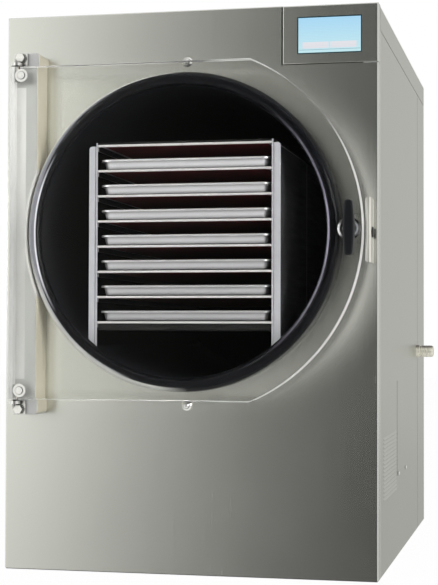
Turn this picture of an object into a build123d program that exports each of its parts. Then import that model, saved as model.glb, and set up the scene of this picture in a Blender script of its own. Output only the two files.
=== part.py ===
from build123d import *
import math
import os

os.makedirs("parts", exist_ok=True)

# A cabinet freeze dryer: a horizontal steel chamber with a clear door, seven trays on a heated
# rack, and a refrigeration unit in the base.
# Frame: millimetres, +Z up, the door faces -Y, +X is on the right of someone facing the door.
# The origin is the centre of the cabinet's footprint, on the floor.

# ---------------------------------------------------------------- driving sizes
# Cabinet
cabinet_width = 756.0
top_space = 444.5           # chamber's axis to the top of the cabinet
rear_space = 70.7           # jacket's back to the cabinet's back
panel_sheet = 1.5           # stainless sheet of the covers
bend_radius = 3.0           # outside radius of the folds
floor_gap = 1.5             # covers hang this far above the floor
front_return = 34.0         # depth of the front panel's folded sides
panel_seam = 3.0            # open seam between neighbouring covers
screen_seam = 1.0           # seam round the screen panel
screen_return = 8.0         # depth of the screen panel's bottom fold
top_lip = 48.0              # down-turned lip of the top cover
rear_wrap = 187.0           # how far the rear cover wraps round the sides
pan_height = 30.0           # upstand of the base pan
pan_sheet = 2.0
frame_bar = 25.0            # square bar of the welded frame
rail_drop = 348.5           # chamber axis to the top face of the rails that carry it

# Chamber
chamber_height = 673.5      # chamber axis above the floor
drum_inner_radius = 285.0
drum_wall = 3.0
drum_rim_reach = 45.0       # rim stands this far in front of the front panel
rack_clearance = 37.0       # rack's back to the end of the drum's straight wall
drum_dish = 52.0            # depth of the dished back
gasket_reach = 57.0         # front of the gasket, from the front panel
gasket_radius = 312.0
gasket_lip_radius = 285.5
gasket_outer_round = 14.0   # the front is a rounded bulb: radius of its outer shoulder
gasket_inner_round = 11.0
coil_height = 8.0           # flattened evaporator tube
coil_width = 14.0
coil_turns = 6
jacket_thickness = 21.0
jacket_back = 20.0
jacket_gap = 12.0           # jacket starts this far behind the front panel's face
cradle_plate = 5.0
cradle_band = 60.0          # width of the saddle band
cradle_angle = 42.0         # half angle of the saddle band
cradle_places = (-290.0, 190.0)

# Rack and trays
rack_front_reach = 25.0     # rack's front edge, in front of the front panel
shelf_rise = 175.5          # chamber axis to the top face of the uppermost shelf
shelf_pitch = 50.0
shelf_count = 8
shelf_sheet = 1.5
shelf_turn_down = 12.0
shelf_hem = 4.5             # height of the hem along a shelf's front edge
hem_depth = 5.0
rack_crown = 4.0            # side sheets rise this far above the top shelf
rack_hem = 1.0              # thickness of the hem along a side sheet's front edge
rack_groove = 2.0           # gap between the hem and the front band
rack_band = 12.5            # width of the band outside the hem
rack_band_depth = 3.0
band_drop = 7.0             # band's top, below the top of the side sheet
band_corner = 6.0
mat_thickness = 2.0
mat_margin = 14.0
foam_thickness = 14.0
foam_drop = 12.0            # side foam's top, below the top of the side sheets
tray_width = 346.0          # over the rolled rim
tray_side_gap = 4.0         # between the rim and the shelf's long edge
tray_length = 872.0
tray_end_gap = 3.0          # rack beyond the tray at each end
tray_height = 21.0
tray_taper = 5.5            # how much the wall leans out from floor to rim
tray_sheet = 1.0
tray_rim = 4.0              # height of the rim's folded band
tray_flange = 5.0           # how far the rim stands out from the wall
tray_corner = 9.0           # corner radius at the floor
tray_foot = 4.0             # rounding of the floor's edge

# Door
door_thickness = 25.4
door_left = -346.0
door_half_height = 329.0
door_arc_radius = 358.0
door_seat_gap = 0.3
door_chamfer = 1.5          # polished edges of the slab
post_width = 50.8
post_length = 719.0
post_right = -290.7
post_corner = 8.0
post_edge = 3.0             # rounding of the post's front edges
strip_width = 26.8          # wear strip let into the post's front
strip_length = 578.0
strip_depth = 2.0
post_relief = 1.5           # gap between the post's cut-out and the gasket
post_bolt_inset = 10.5
post_bolt_x = -327.0
stud_distance = 340.0        # cup-washered screws, above and below the chamber's axis
bracket_thickness = 6.0
bracket_foot = 5.0
hinge_pin_diameter = 8.0
hinge_pin_reach = 26.0      # how far a pin stands into its bush
running_gap = 0.05          # radial clearance of a pin or shaft in its hole
bush_diameter = 17.0
bush_length = 30.0
door_screw_x = -319.0
door_screw_drop = 18.0      # screw below the door's top edge
door_washer = 26.0
arm_gap = 3.0               # bracket arm above the door's edge

# Latch
latch_x = 335.0
handle_width = 21.5
handle_end_width = 15.5
handle_crown = 3.0          # bulge of the grip's ends
handle_length = 105.0
handle_corner = 6.0
handle_depth = 20.0
handle_reach = 17.0         # gap between the door's front and the handle's back
spindle_diameter = 14.0
hub_diameter = 30.0
hub_thickness = 6.0
cam_length = 29.0
cam_width = 16.0
cam_thickness = 8.0
cam_behind_door = 20.0      # door's back to the cam's front
keeper_length = 124.0
keeper_right = 375.0
keeper_web = 367.0          # middle of the keeper's standing web
keeper_left = 358.0
keeper_corner = 5.0         # rounding of the front lip's free corners
keeper_sheet = 3.0
keeper_stand = 44.0         # keeper's height from the front panel

# Screen
screen_left = 188.0
screen_height = 117.0
screen_recess = 2.0
display_width = 127.0
display_height = 73.0
display_left = 219.0
display_drop = 23.0         # top of the cabinet to the top of the display
display_border = 5.0
display_depth = 22.0

control_place = 60.0        # control box, from the front panel
control_length = 130.0
control_depth = 80.0

# Openings and fittings in the covers
louvre_length = 255.0
louvre_height = 5.0
louvre_stand = 2.0
louvre_sheet = 0.8
louvre_pitch = 8.0
louvre_rows = 16
louvre_top = 265.0
louvre_place = 84.0         # front end of the louvres, from the front panel
louvre_slope = 8.0          # length of a louvre's sloping ends
slot_depth_place = 352.0
slot_length = 204.0
slot_width = 6.0
slot_lowest = 172.0
port_place = 818.0          # vacuum port, from the front panel
port_drop = 238.5           # below the chamber's axis
port_diameter = 28.0
port_bore = 20.0
port_reach = 41.0
port_flange = 30.0
port_flange_thickness = 8.0
drain_drop = 338.5          # below the chamber's axis
drain_tube = 16.0
drain_valve_reach = 47.0
valve_depth = 3.0           # valve starts this far inside the side cover's face
valve_radius = 14.0
valve_stem = 8.0
valve_stem_place = 17.0     # stem, from the start of the valve
spigot_radius = 7.0
lever_length = 54.0

screw_places = (375.0, 532.0)    # side covers' lower screws, from the front panel
screw_height = 176.0
rear_screw_x = 340.0
rear_screw_heights = (60.0, 560.0, 1040.0)
rear_slot_length = 110.0
rear_slot_width = 7.0
rear_slot_middles = (140.0, 265.0)
rear_slot_rows = 9
rear_slot_pitch = 18.0
rear_slot_lowest = 90.0

# Refrigeration unit
compressor_x = -190.0
compressor_y = 130.0
compressor_radius = 95.0
compressor_height = 240.0
grommet_height = 16.0
condenser_x = 296.0
condenser_depth = 44.0
condenser_length = 320.0
condenser_height = 276.0
condenser_middle_y = -190.0
fin_count = 18
shroud_depth = 34.0
shroud_sheet = 1.5
arm_thickness = 3.0
arm_width = 12.0
fan_stand = 7.0             # shroud's face to the fan's hub
fan_hub_length = 20.0
fan_radius = 116.0
fan_tip_gap = 5.0
fan_blade_count = 5
fan_hub_radius = 26.0
fan_shaft_diameter = 8.0
motor_radius = 42.0
motor_length = 58.0
line_diameter = 10.0
tube_rows = 6
line_stand = 28.0           # copper lines turn this far in front of the condenser's tube ends
header_x = 30.0

# Rear fittings
inlet_x = -262.0
inlet_height = 205.0
entry_width = 72.0
entry_height = 28.0
rocker_x = -222.0
rocker_width = 16.0
rocker_pin = 3.0
socket_x = -120.0
socket_width = 44.0
socket_height = 34.0
rocker_travel = 14.0

seat = 0.3                  # clearance left where curved faces meet

# ---------------------------------------------------------------- places worked out from them
shelf_half_width = tray_width / 2 + tray_side_gap
rack_length = tray_length + 2 * tray_end_gap
drum_straight = drum_rim_reach - rack_front_reach + rack_length + rack_clearance
drum_depth = drum_straight - drum_rim_reach + drum_dish + drum_wall
cabinet_depth = drum_depth + seat + jacket_back + rear_space
cabinet_height = chamber_height + top_space
rail_top = chamber_height - rail_drop
shelf_top = chamber_height + shelf_rise
port_height = chamber_height - port_drop
drain_height = chamber_height - drain_drop

half_width = cabinet_width / 2
front_y = -cabinet_depth / 2
back_y = cabinet_depth / 2
inside_x = half_width - panel_sheet
inside_front = front_y + panel_sheet
inside_back = back_y - panel_sheet
inside_top = cabinet_height - panel_sheet
post_outer_x = inside_x - pan_sheet
post_inner_x = post_outer_x - frame_bar
frame_front = inside_front + pan_sheet
frame_back = inside_back - pan_sheet
side_seam_y = back_y - rear_wrap

drum_radius = drum_inner_radius + drum_wall
drum_front = front_y - drum_rim_reach
drum_back = drum_front + drum_straight
gasket_front = front_y - gasket_reach
coil_radius = drum_radius + seat
jacket_inner = coil_radius + coil_height + seat
jacket_radius = jacket_inner + jacket_thickness
jacket_front = front_y + jacket_gap

rack_front = front_y - rack_front_reach
rack_back = rack_front + rack_length

door_back = gasket_front - door_seat_gap
door_front = door_back - door_thickness
hinge_axis_x = door_left + door_thickness / 2
hinge_axis_y = (door_front + door_back) / 2
post_left = post_right - post_width
post_top = chamber_height + post_length / 2
post_bottom = chamber_height - post_length / 2

handle_back = door_front - handle_reach
screen_bottom = cabinet_height - screen_height
display_top = cabinet_height - display_drop
display_bottom = display_top - display_height
port_y = front_y + port_place
valve_stem_x = -half_width + valve_depth - valve_stem_place
condenser_y = (condenser_middle_y - condenser_length / 2, condenser_middle_y + condenser_length / 2)
condenser_z = (pan_sheet, pan_sheet + condenser_height)
tube_end = line_diameter / 2 + 3.0   # condenser's tubes reach this far past its end plates
lines_y = condenser_y[0] - tube_end - line_stand
fan_height = pan_sheet + condenser_height / 2
shroud_face = condenser_x - shroud_depth


# ---------------------------------------------------------------- helpers
def block(x, y, z):
    """A box given by its low and high limits along each axis."""
    corner = (Align.MIN, Align.MIN, Align.MIN)
    return Pos(x[0], y[0], z[0]) * Box(x[1] - x[0], y[1] - y[0], z[1] - z[0], align=corner)


def rod(start, direction, diameter, length):
    """A round bar that begins at start and runs along direction."""
    base = (Align.CENTER, Align.CENTER, Align.MIN)
    return Plane(origin=start, z_dir=direction) * Cylinder(diameter / 2, length, align=base)


def front_plate(outline, front, back):
    """Extrude an outline drawn in x and z between two y places."""
    return extrude(Plane.XZ.offset(-back) * outline, amount=back - front)


def turned_y(points, x, z):
    """Turn a profile of (radius, y) points about an axis along y."""
    return Pos(x, 0, z) * revolve(make_face(Polyline(*points, close=True)), axis=Axis.Y)


def turned(points, start, direction):
    """Turn a profile of (radius, height) points about direction, from start."""
    profile = Plane.XZ * make_face(Polyline(*points, close=True))
    return Plane(origin=start, z_dir=direction) * revolve(profile, axis=Axis.Z)


def mirrored_x(shape):
    """The shape and its twin on the other side of the middle plane."""
    return shape + mirror(shape, about=Plane.YZ)


def tube(points, diameter, radius):
    """A round tube along straight runs joined by arcs."""
    path = FilletPolyline(*points, radius=radius)
    return sweep(Plane(origin=path @ 0, z_dir=path % 0) * Circle(diameter / 2), path=path)


def folded_cover(x, y, z, open_low, open_high):
    """A folded sheet cover: a box with its wall thickness left, open on the named sides."""
    outer = block(x, y, z)
    low = [limit + panel_sheet for limit in (x[0], y[0], z[0])]
    high = [limit - panel_sheet for limit in (x[1], y[1], z[1])]
    for axis in open_low:
        low[axis] = (x, y, z)[axis][0] - 1
    for axis in open_high:
        high[axis] = (x, y, z)[axis][1] + 1
    inner = block(*zip(low, high))
    return outer, inner


def hex_bolt(x, y, z, across=16.0, head=9.0):
    """A hexagon head on a plain washer, facing the front, with its seat at y."""
    washer = rod((x, y, z), (0, -1, 0), across * 1.3, 2.0)
    crown = front_plate(Pos(x, z) * RegularPolygon(across / 2, 6, major_radius=False), y - head, y - 2.0)
    return washer + crown


def pan_head(centre, direction, diameter=9.0, height=3.5):
    """A low round screw head, chamfered like a pan head."""
    rim = diameter / 2
    points = [(0, 0), (rim, 0), (rim, height * 0.5), (rim * 0.62, height), (0, height)]
    return turned(points, centre, direction)


# ---------------------------------------------------------------- cabinet
def make_base_pan():
    outer = block((-inside_x, inside_x), (inside_front, inside_back), (0, pan_height))
    hollow = block((-post_outer_x, post_outer_x), (frame_front, frame_back), (pan_sheet, pan_height + 1))
    return fillet(outer.edges().filter_by(Axis.Z), bend_radius) - hollow


def make_frame():
    """Four posts, side rails at two heights, two top cross bars and the hinge backing bar."""
    posts = Part()
    for low_y, high_y in ((frame_front, frame_front + frame_bar), (frame_back - frame_bar, frame_back)):
        posts += mirrored_x(block((post_inner_x, post_outer_x), (low_y, high_y), (pan_sheet, inside_top)))
    run = (frame_front + frame_bar, frame_back - frame_bar)
    rails = Part()
    for high_z in (rail_top, inside_top):
        rails += mirrored_x(block((post_inner_x, post_outer_x), run, (high_z - frame_bar, high_z)))
    cross_z = (inside_top - frame_bar, inside_top)
    cross_x = (-post_inner_x, post_inner_x)
    control_y = front_y + control_place + 20.0
    rails += block(cross_x, (control_y, control_y + frame_bar), cross_z)
    rails += block(cross_x, (frame_back - frame_bar, frame_back), cross_z)
    backing_end = jacket_front - 1.5
    backing_x = (-post_inner_x, post_right)
    backing = block(backing_x, (inside_front, backing_end), (post_bottom - 15, post_top + 10))
    return posts + rails + backing + make_saddles()


def make_front_panel():
    """Front sheet with folded sides, a round hole for the drum and a notch for the screen panel."""
    z = (floor_gap, cabinet_height)
    outer, inner = folded_cover((-half_width, half_width), (front_y, front_y + front_return), z, (2,), (1,))
    shell = fillet(outer.edges().group_by(Axis.Y)[0].sort_by(Axis.Z)[1:], bend_radius) - inner
    hole = rod((0, front_y - 1, chamber_height), (0, 1, 0), 2 * (drum_radius + panel_sheet), 20)
    notch = block((screen_left, half_width + 1), (front_y - 1, back_y), (screen_bottom, cabinet_height + 1))
    return shell - hole - notch


def make_screen_panel():
    """Folded sheet in the notch, a little behind the front sheet, with the display window."""
    x = (screen_left + screen_seam, half_width)
    y = (front_y + screen_recess, front_y + front_return)
    z = (screen_bottom + screen_seam, cabinet_height)
    outer, inner = folded_cover(x, y, z, (), (1,))
    shell = fillet(outer.edges().group_by(Axis.Y)[0], bend_radius) - inner
    past_fold = (z[0] - 1, z[0] + panel_sheet + 1)
    shell -= block((x[0] + panel_sheet, x[1] - panel_sheet), (y[0] + screen_return, y[1] + 1), past_fold)
    shell -= block((post_inner_x - 1, post_outer_x + 1), (frame_front, y[1] + 1), past_fold)
    window_x = (display_left, display_left + display_width)
    window = block(window_x, (front_y, front_y + 10), (display_bottom, display_top))
    return shell - window


def make_touch_screen():
    """Display module: glass face in the window and a housing behind the screen panel."""
    window_x = (display_left + seat, display_left + display_width - seat)
    face_y = front_y + screen_recess
    face = block(window_x, (face_y + 0.4, face_y + panel_sheet), (display_bottom + seat, display_top - seat))
    body_x = (display_left - display_border, display_left + display_width + display_border / 2)
    body_z = (display_bottom - display_border, display_top + display_border)
    body = block(body_x, (face_y + panel_sheet, face_y + panel_sheet + display_depth), body_z)
    return face + fillet(body.edges().filter_by(Axis.Y), 3.0)


def make_top_cover():
    x = (-half_width, half_width)
    y = (front_y + front_return + panel_seam, back_y)
    z = (cabinet_height - top_lip, cabinet_height)
    outer, inner = folded_cover(x, y, z, (1, 2), ())
    return fillet(outer.edges().group_by(Axis.Z)[-1].sort_by(Axis.Y)[1:], bend_radius) - inner


def louvre_plan(inset):
    """Prism that gives every louvre its sloping ends, drawn in by inset."""
    left, right = half_width - 3 * panel_sheet, half_width + louvre_stand
    front = front_y + louvre_place + inset
    back = front_y + louvre_place + louvre_length - inset
    outline = Polyline((left, front), (half_width, front), (right, front + louvre_slope),
                       (right, back - louvre_slope), (half_width, back), (left, back), close=True)
    prism = extrude(make_face(outline), amount=louvre_rows * louvre_pitch + 2 * louvre_height)
    return Pos(0, 0, louvre_top - louvre_rows * louvre_pitch) * prism


def add_louvres(panel):
    """Press the column of fine louvres into a right-hand side sheet; each opens downwards."""
    wall = louvre_sheet
    hood = Polyline((0, louvre_height), (louvre_stand, wall), (louvre_stand, 0), (0, 0), close=True)
    bore = Polyline((-2 * panel_sheet, louvre_height - 1.6 * wall), (0, louvre_height - 1.6 * wall),
                    (louvre_stand - wall, wall), (louvre_stand - wall, -1), (0, -1), (0, 0),
                    (-2 * panel_sheet, 0), close=True)
    hoods, bores = Part(), Part()
    y = front_y + louvre_place
    for row in range(louvre_rows):
        corner = Pos(half_width, louvre_top - row * louvre_pitch)
        hoods += front_plate(corner * make_face(hood), y, y + louvre_length)
        bores += front_plate(corner * make_face(bore), y, y + louvre_length)
    return panel + (hoods & louvre_plan(0)) - (bores & louvre_plan(wall))


def make_side_sheet():
    """Right-hand side sheet with folded front and rear edges and its louvres."""
    y = (front_y + front_return + panel_seam, side_seam_y - panel_seam / 2)
    z = (floor_gap, cabinet_height - top_lip - panel_seam / 2)
    outer = block((post_outer_x, half_width), y, z)
    hollow = block((post_outer_x - 1, inside_x), (y[0] + panel_sheet, y[1] - panel_sheet),
                   (z[0] - 1, z[1] + 1))
    sheet = fillet(outer.edges().filter_by(Axis.Z).sort_by(Axis.X)[-2:], bend_radius / 2) - hollow
    pan_wall = block((post_outer_x - 1, inside_x), (y[0] - 1, y[1] + 1), (0, pan_height + 1))
    return add_louvres(sheet - pan_wall)


def make_right_side():
    sheet = make_side_sheet()
    slot_y = front_y + slot_depth_place
    slot = block((inside_x - 1, half_width + 1), (slot_y, slot_y + slot_width),
                 (slot_lowest, slot_lowest + slot_length))
    port = rod((half_width - 20, port_y, port_height), (1, 0, 0), port_diameter + 1, 30)
    return sheet - slot - port


def make_left_side():
    sheet = mirror(make_side_sheet(), about=Plane.YZ)
    drain = rod((-half_width + 20, port_y, drain_height), (-1, 0, 0), drain_tube + 6, 30)
    return sheet - drain


def make_rear_cover():
    """Sheet that closes the back and wraps round both sides, with the air slots and cut-outs."""
    x = (-half_width, half_width)
    z = (floor_gap, cabinet_height - top_lip - panel_seam / 2)
    outer, inner = folded_cover(x, (side_seam_y + panel_seam / 2, back_y), z, (1, 2), (2,))
    shell = fillet(outer.edges().filter_by(Axis.Z).sort_by(Axis.Y)[-2:], bend_radius) - inner
    slot = SlotOverall(rear_slot_length, rear_slot_width)
    slots = Sketch()
    for middle in rear_slot_middles:
        for row in range(rear_slot_rows):
            slots += Pos(middle, rear_slot_lowest + row * rear_slot_pitch) * slot
    shell -= front_plate(slots, back_y - 10, back_y + 10)
    entry = (inlet_x + rocker_x) / 2
    for centre, width, height in ((entry, entry_width, entry_height),
                                  (socket_x, socket_width, socket_height)):
        cut = block((centre - width / 2, centre + width / 2), (back_y - 10, back_y + 10),
                    (inlet_height - height / 2, inlet_height + height / 2))
        shell -= cut
    return shell


def make_panel_screws():
    """Pan-head screws that hold the side and rear covers."""
    heads = []
    for place in screw_places:
        heads.append(pan_head((half_width, front_y + place, screw_height), (1, 0, 0)))
        heads.append(pan_head((-half_width, front_y + place, screw_height), (-1, 0, 0)))
    for x in (-rear_screw_x, 0.0, rear_screw_x):
        for z in rear_screw_heights:
            heads.append(pan_head((x, back_y, z), (0, 1, 0)))
    return Compound(children=heads)


# ---------------------------------------------------------------- chamber
def dished_can(radius, front, depth):
    """A solid can, open-ended in front, whose back bulges by depth, about the y axis."""
    sphere = (radius ** 2 + depth ** 2) / (2 * depth)
    half = math.asin(radius / sphere) / 2
    middle = (sphere * math.sin(half), drum_back + depth - sphere * (1 - math.cos(half)))
    bulge = ThreePointArc((radius, drum_back), middle, (0, drum_back + depth))
    outline = Polyline((0, drum_back + depth), (0, front), (radius, front), (radius, drum_back)) + bulge
    return Pos(0, 0, chamber_height) * revolve(make_face(outline), axis=Axis.Y)


def make_drum():
    """Rolled and welded drum with a dished back, holed for the vacuum pipe and the drain."""
    drum = dished_can(drum_radius, drum_front, drum_dish + drum_wall)
    drum -= dished_can(drum_inner_radius, drum_front - 1, drum_dish)
    suction = rod((0, port_y, port_height), (1, 0, 0), port_bore, half_width)
    drain = rod((0, port_y, chamber_height - drum_inner_radius + 5), (0, 0, -1), drain_tube - 4, 20)
    return drum - suction - drain


def make_gasket():
    """Moulded rubber ring: a sleeve over the drum's rim with a rolled front lip."""
    sleeve = drum_radius + seat
    lip_back = drum_front - seat
    points = [(gasket_lip_radius, gasket_front), (gasket_radius, gasket_front),
              (gasket_radius, front_y), (sleeve, front_y), (sleeve, lip_back),
              (gasket_lip_radius, lip_back)]
    face = make_face(Polyline(*points, close=True))
    for place, radius in ((-1, gasket_outer_round), (0, gasket_inner_round)):
        corner = face.vertices().group_by(Axis.Y)[0].sort_by(Axis.X)[place]
        face = fillet(corner, radius)
    return Pos(0, 0, chamber_height) * revolve(face, axis=Axis.Y)


def make_evaporator():
    """Flattened copper turns round the drum, joined by two straight headers."""
    first = jacket_front + 70.0
    last = drum_back - 120.0
    step = (last - first) / (coil_turns - 1)
    turns = []
    for number in range(coil_turns):
        y = first + number * step
        points = [(coil_radius, y - coil_width / 2), (coil_radius + coil_height, y - coil_width / 4),
                  (coil_radius + coil_height, y + coil_width / 4), (coil_radius, y + coil_width / 2)]
        turns.append(turned_y(points, 0, chamber_height))
    coil = Part() + turns
    half = coil_height / 2
    z = header_underside()
    for x in (-header_x, header_x):
        coil += block((x - half, x + half), (first, last), (z, z + half))
    clear = rod((0, port_y, port_height), (1, 0, 0), port_diameter + 1, half_width)
    return coil - clear


def make_jacket():
    """Foam jacket round the coil, with a closed back."""
    back = drum_back + drum_dish + drum_wall + seat
    end = back + jacket_back
    points = [(jacket_inner, jacket_front), (jacket_radius, jacket_front), (jacket_radius, end),
              (0, end), (0, back), (jacket_inner, back)]
    jacket = turned_y(points, 0, chamber_height)
    pipe = rod((0, port_y, port_height), (1, 0, 0), port_diameter + 2 * seat, half_width)
    drain = rod((0, port_y, chamber_height - drum_radius), (0, 0, -1), drain_tube + 2 * seat, 60)
    for x, y in ((-header_x, lines_y), (header_x, compressor_y)):
        jacket -= rod((x, y, chamber_height - drum_radius), (0, 0, -1), line_diameter + 2 * seat, 60)
    return jacket - pipe - drain


def make_saddles():
    """Two saddles, welded to the side rails, that hold the chamber in its jacket."""
    radius = jacket_radius + seat
    reach = post_outer_x
    top = chamber_height - radius * math.cos(math.radians(cradle_angle))
    web = Pos(0, (rail_top + top) / 2) * Rectangle(2 * reach, top - rail_top)
    web -= Pos(0, chamber_height) * Circle(radius)
    shoulder = Pos(reach, top) * Rotation(0, 0, 45) * Rectangle(90, 90)
    web -= shoulder + mirror(shoulder, about=Plane.YZ)
    band = Circle(radius + cradle_plate) - Circle(radius)
    wedge = make_face(Polyline((0, 0), (-radius, -radius / math.tan(math.radians(cradle_angle))),
                               (radius, -radius / math.tan(math.radians(cradle_angle))), close=True))
    band = Pos(0, chamber_height) * (band & wedge)
    saddles = Part()
    for y in cradle_places:
        plate = front_plate(web, y - cradle_plate / 2, y + cradle_plate / 2)
        saddle = front_plate(band, y - cradle_band / 2, y + cradle_band / 2)
        foot = mirrored_x(block((post_inner_x, post_outer_x), (y - cradle_band / 2, y + cradle_band / 2),
                                (rail_top, rail_top + cradle_plate)))
        saddles += plate + saddle + foot
    return saddles


def make_vacuum_pipe():
    """Straight steel pipe from the port to the drum's wall, coped to the drum."""
    end = half_width - 12.0
    pipe = rod((0, port_y, port_height), (1, 0, 0), port_diameter, end)
    pipe -= rod((-1, port_y, port_height), (1, 0, 0), port_bore, end + 2)
    return pipe - rod((0, front_y, chamber_height), (0, 1, 0), 2 * (drum_radius + seat), cabinet_depth)


def make_vacuum_port():
    """Turned nipple with a shoulder outside the panel and a nut inside it."""
    bore, body, rim = port_bore / 2, port_diameter / 2, port_flange / 2
    inside = -12.0
    shoulder = port_flange_thickness
    points = [(bore, inside), (body, inside), (body, -panel_sheet - 6), (rim, -panel_sheet - 6),
              (rim, -panel_sheet), (body, -panel_sheet), (body, 0), (rim, 0), (rim, shoulder),
              (body - 1.5, shoulder + 1), (body - 1.5, shoulder + 4), (body, shoulder + 5.5),
              (body, port_reach - 5), (body - 0.8, port_reach - 1.8), (body - 2.5, port_reach),
              (bore, port_reach)]
    return turned(points, (half_width, port_y, port_height), (1, 0, 0))


def make_drain_tube():
    """Drain tube from the drum's lowest point to the left side."""
    start = chamber_height - drum_radius - seat
    end = -half_width + valve_depth
    points = ((0, port_y, start), (0, port_y, drain_height), (end, port_y, drain_height))
    return tube(points, drain_tube, 24.0)


def make_drain_valve():
    """Drain tube with the brass ball valve brazed to its end."""
    collar = drain_tube / 2 + 2
    points = [(0, 0), (collar, 0), (collar, 6), (valve_radius, 8), (valve_radius, 26), (collar, 28),
              (collar, 31), (spigot_radius, 33), (spigot_radius, drain_valve_reach), (0, drain_valve_reach)]
    start = (-half_width + valve_depth, port_y, drain_height)
    valve = turned(points, start, (-1, 0, 0))
    valve += rod((valve_stem_x, port_y, drain_height), (0, 0, 1), valve_stem, valve_radius + 12)
    valve -= rod((start[0] - 30, port_y, drain_height), (-1, 0, 0), 2 * spigot_radius - 4, 40)
    return make_drain_tube() + valve


def make_drain_lever():
    """Flat lever on the valve's stem, crosswise while the drain is shut."""
    low = drain_height + valve_radius + 1.0
    outline = Circle(8.5) + Pos(0, lever_length / 2) * Rectangle(12, lever_length)
    outline += Pos(0, lever_length) * Circle(6)
    outline -= Circle(valve_stem / 2 + running_gap)
    return extrude(Pos(valve_stem_x, port_y, low) * outline, amount=3.0)


# ---------------------------------------------------------------- rack and trays
def shelf_height(number):
    """Top face of a shelf, counted from the uppermost."""
    return shelf_top - number * shelf_pitch


def inside_drum(shape):
    """Trim a shape to the drum's bore, less a seat."""
    bore = rod((0, drum_front, chamber_height), (0, 1, 0), 2 * (drum_inner_radius - seat), cabinet_depth)
    return shape & bore


def make_rack_side():
    """Right-hand side sheet of the rack, with a hemmed front edge and an outer band."""
    x = (shelf_half_width, shelf_half_width + shelf_sheet)
    top = shelf_top + rack_crown
    low = chamber_height - drum_inner_radius
    sheet = block(x, (rack_front, rack_back), (low, top))
    hem = block((x[0] - shelf_sheet, x[1]), (rack_front, rack_front + rack_hem), (low, top))
    band_x = (x[1] + rack_groove, x[1] + rack_groove + rack_band)
    band_back = rack_front + rack_band_depth
    band = block(band_x, (rack_front, band_back), (low, top - band_drop))
    outer_corner = band.edges().filter_by(Axis.Y).group_by(Axis.Z)[-1].sort_by(Axis.X)[-1]
    band = fillet(outer_corner, band_corner)
    web = block((x[0], band_x[0] + 1), (band_back - shelf_sheet, band_back), (low, top - band_drop))
    return inside_drum(sheet + hem + web + band)


def make_shelf(number):
    """Flat shelf with its two long edges turned down against the side sheets."""
    z = shelf_height(number)
    x = (-shelf_half_width, shelf_half_width)
    blank = block(x, (rack_front + rack_hem, rack_back), (z - shelf_turn_down, z))
    inner_x = (x[0] + shelf_sheet, x[1] - shelf_sheet)
    hollow = block(inner_x, (rack_front, rack_back + 1), (z - shelf_turn_down - 1, z - shelf_sheet))
    corners = blank.edges().filter_by(Axis.Y).group_by(Axis.Z)[-1]
    relief = mirrored_x(block((shelf_half_width - shelf_sheet, shelf_half_width + 1),
                              (rack_front, rack_front + 8.0), (z - shelf_turn_down - 1, z - shelf_sheet)))
    front = rack_front + rack_hem
    hem = block(inner_x, (front, front + hem_depth), (z - shelf_hem, z - shelf_sheet / 2))
    hem = fillet(hem.edges().filter_by(Axis.X).sort_by(Axis.Z)[:2], shelf_sheet)
    return fillet(corners, 1.2) - hollow - relief + hem


def make_heater_mats():
    """A silicone heater mat bonded under each shelf."""
    mats = []
    side = shelf_half_width - mat_margin
    for number in range(shelf_count):
        top = shelf_height(number) - shelf_sheet
        mats.append(block((-side, side), (rack_front + mat_margin, rack_back - mat_margin),
                          (top - mat_thickness, top)))
    return Compound(children=mats)


def make_rack_foam():
    """Foam sheets on the rack's sides, top and bottom."""
    y = (rack_front + rack_band_depth, rack_back)
    outer = shelf_half_width + shelf_sheet
    top = shelf_top + rack_crown - foam_drop
    low = chamber_height - drum_inner_radius
    side = inside_drum(block((outer, outer + foam_thickness), y, (low, top)))
    lid = block((-shelf_half_width, shelf_half_width), (y[0] + 10.0, y[1]), (shelf_top, shelf_top + 6.0))
    floor_top = shelf_height(shelf_count - 1) - shelf_sheet - mat_thickness
    half = shelf_half_width - shelf_sheet
    floor = block((-half, half), (y[0] + 4.0, y[1]), (floor_top - foam_thickness, floor_top))
    return Compound(children=[side, mirror(side, about=Plane.YZ), lid, floor])


def make_tray(number):
    """Drawn steel tray: leaning walls, a rounded floor edge and a folded rim."""
    z = shelf_height(number)
    base = Plane(origin=(0, (rack_front + rack_back) / 2, z))
    top_w, top_l = tray_width - 2 * tray_flange, tray_length - 2 * tray_flange
    foot_w, foot_l = top_w - 2 * tray_taper, top_l - 2 * tray_taper
    top_corner = tray_corner + tray_taper
    wall = 2 * tray_sheet
    lower = base * RectangleRounded(foot_w, foot_l, tray_corner)
    upper = base.offset(tray_height) * RectangleRounded(top_w, top_l, top_corner)
    pressing = loft(Sketch() + [lower, upper])
    lower = base.offset(tray_sheet) * RectangleRounded(
        foot_w - wall, foot_l - wall, tray_corner - tray_sheet)
    upper = base.offset(tray_height + 1) * RectangleRounded(
        top_w - wall, top_l - wall, top_corner - tray_sheet)
    hollow = loft(Sketch() + [lower, upper])
    pressing = fillet(pressing.faces().sort_by(Axis.Z)[0].edges(), tray_foot)
    hollow = fillet(hollow.faces().sort_by(Axis.Z)[0].edges(), tray_foot - tray_sheet)
    rim = extrude(base.offset(tray_height - tray_rim) * RectangleRounded(
        tray_width, tray_length, top_corner + tray_flange), amount=tray_rim)
    rim = chamfer(rim.edges().group_by(Axis.Z)[-1], tray_sheet)
    return pressing + rim - hollow


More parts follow.
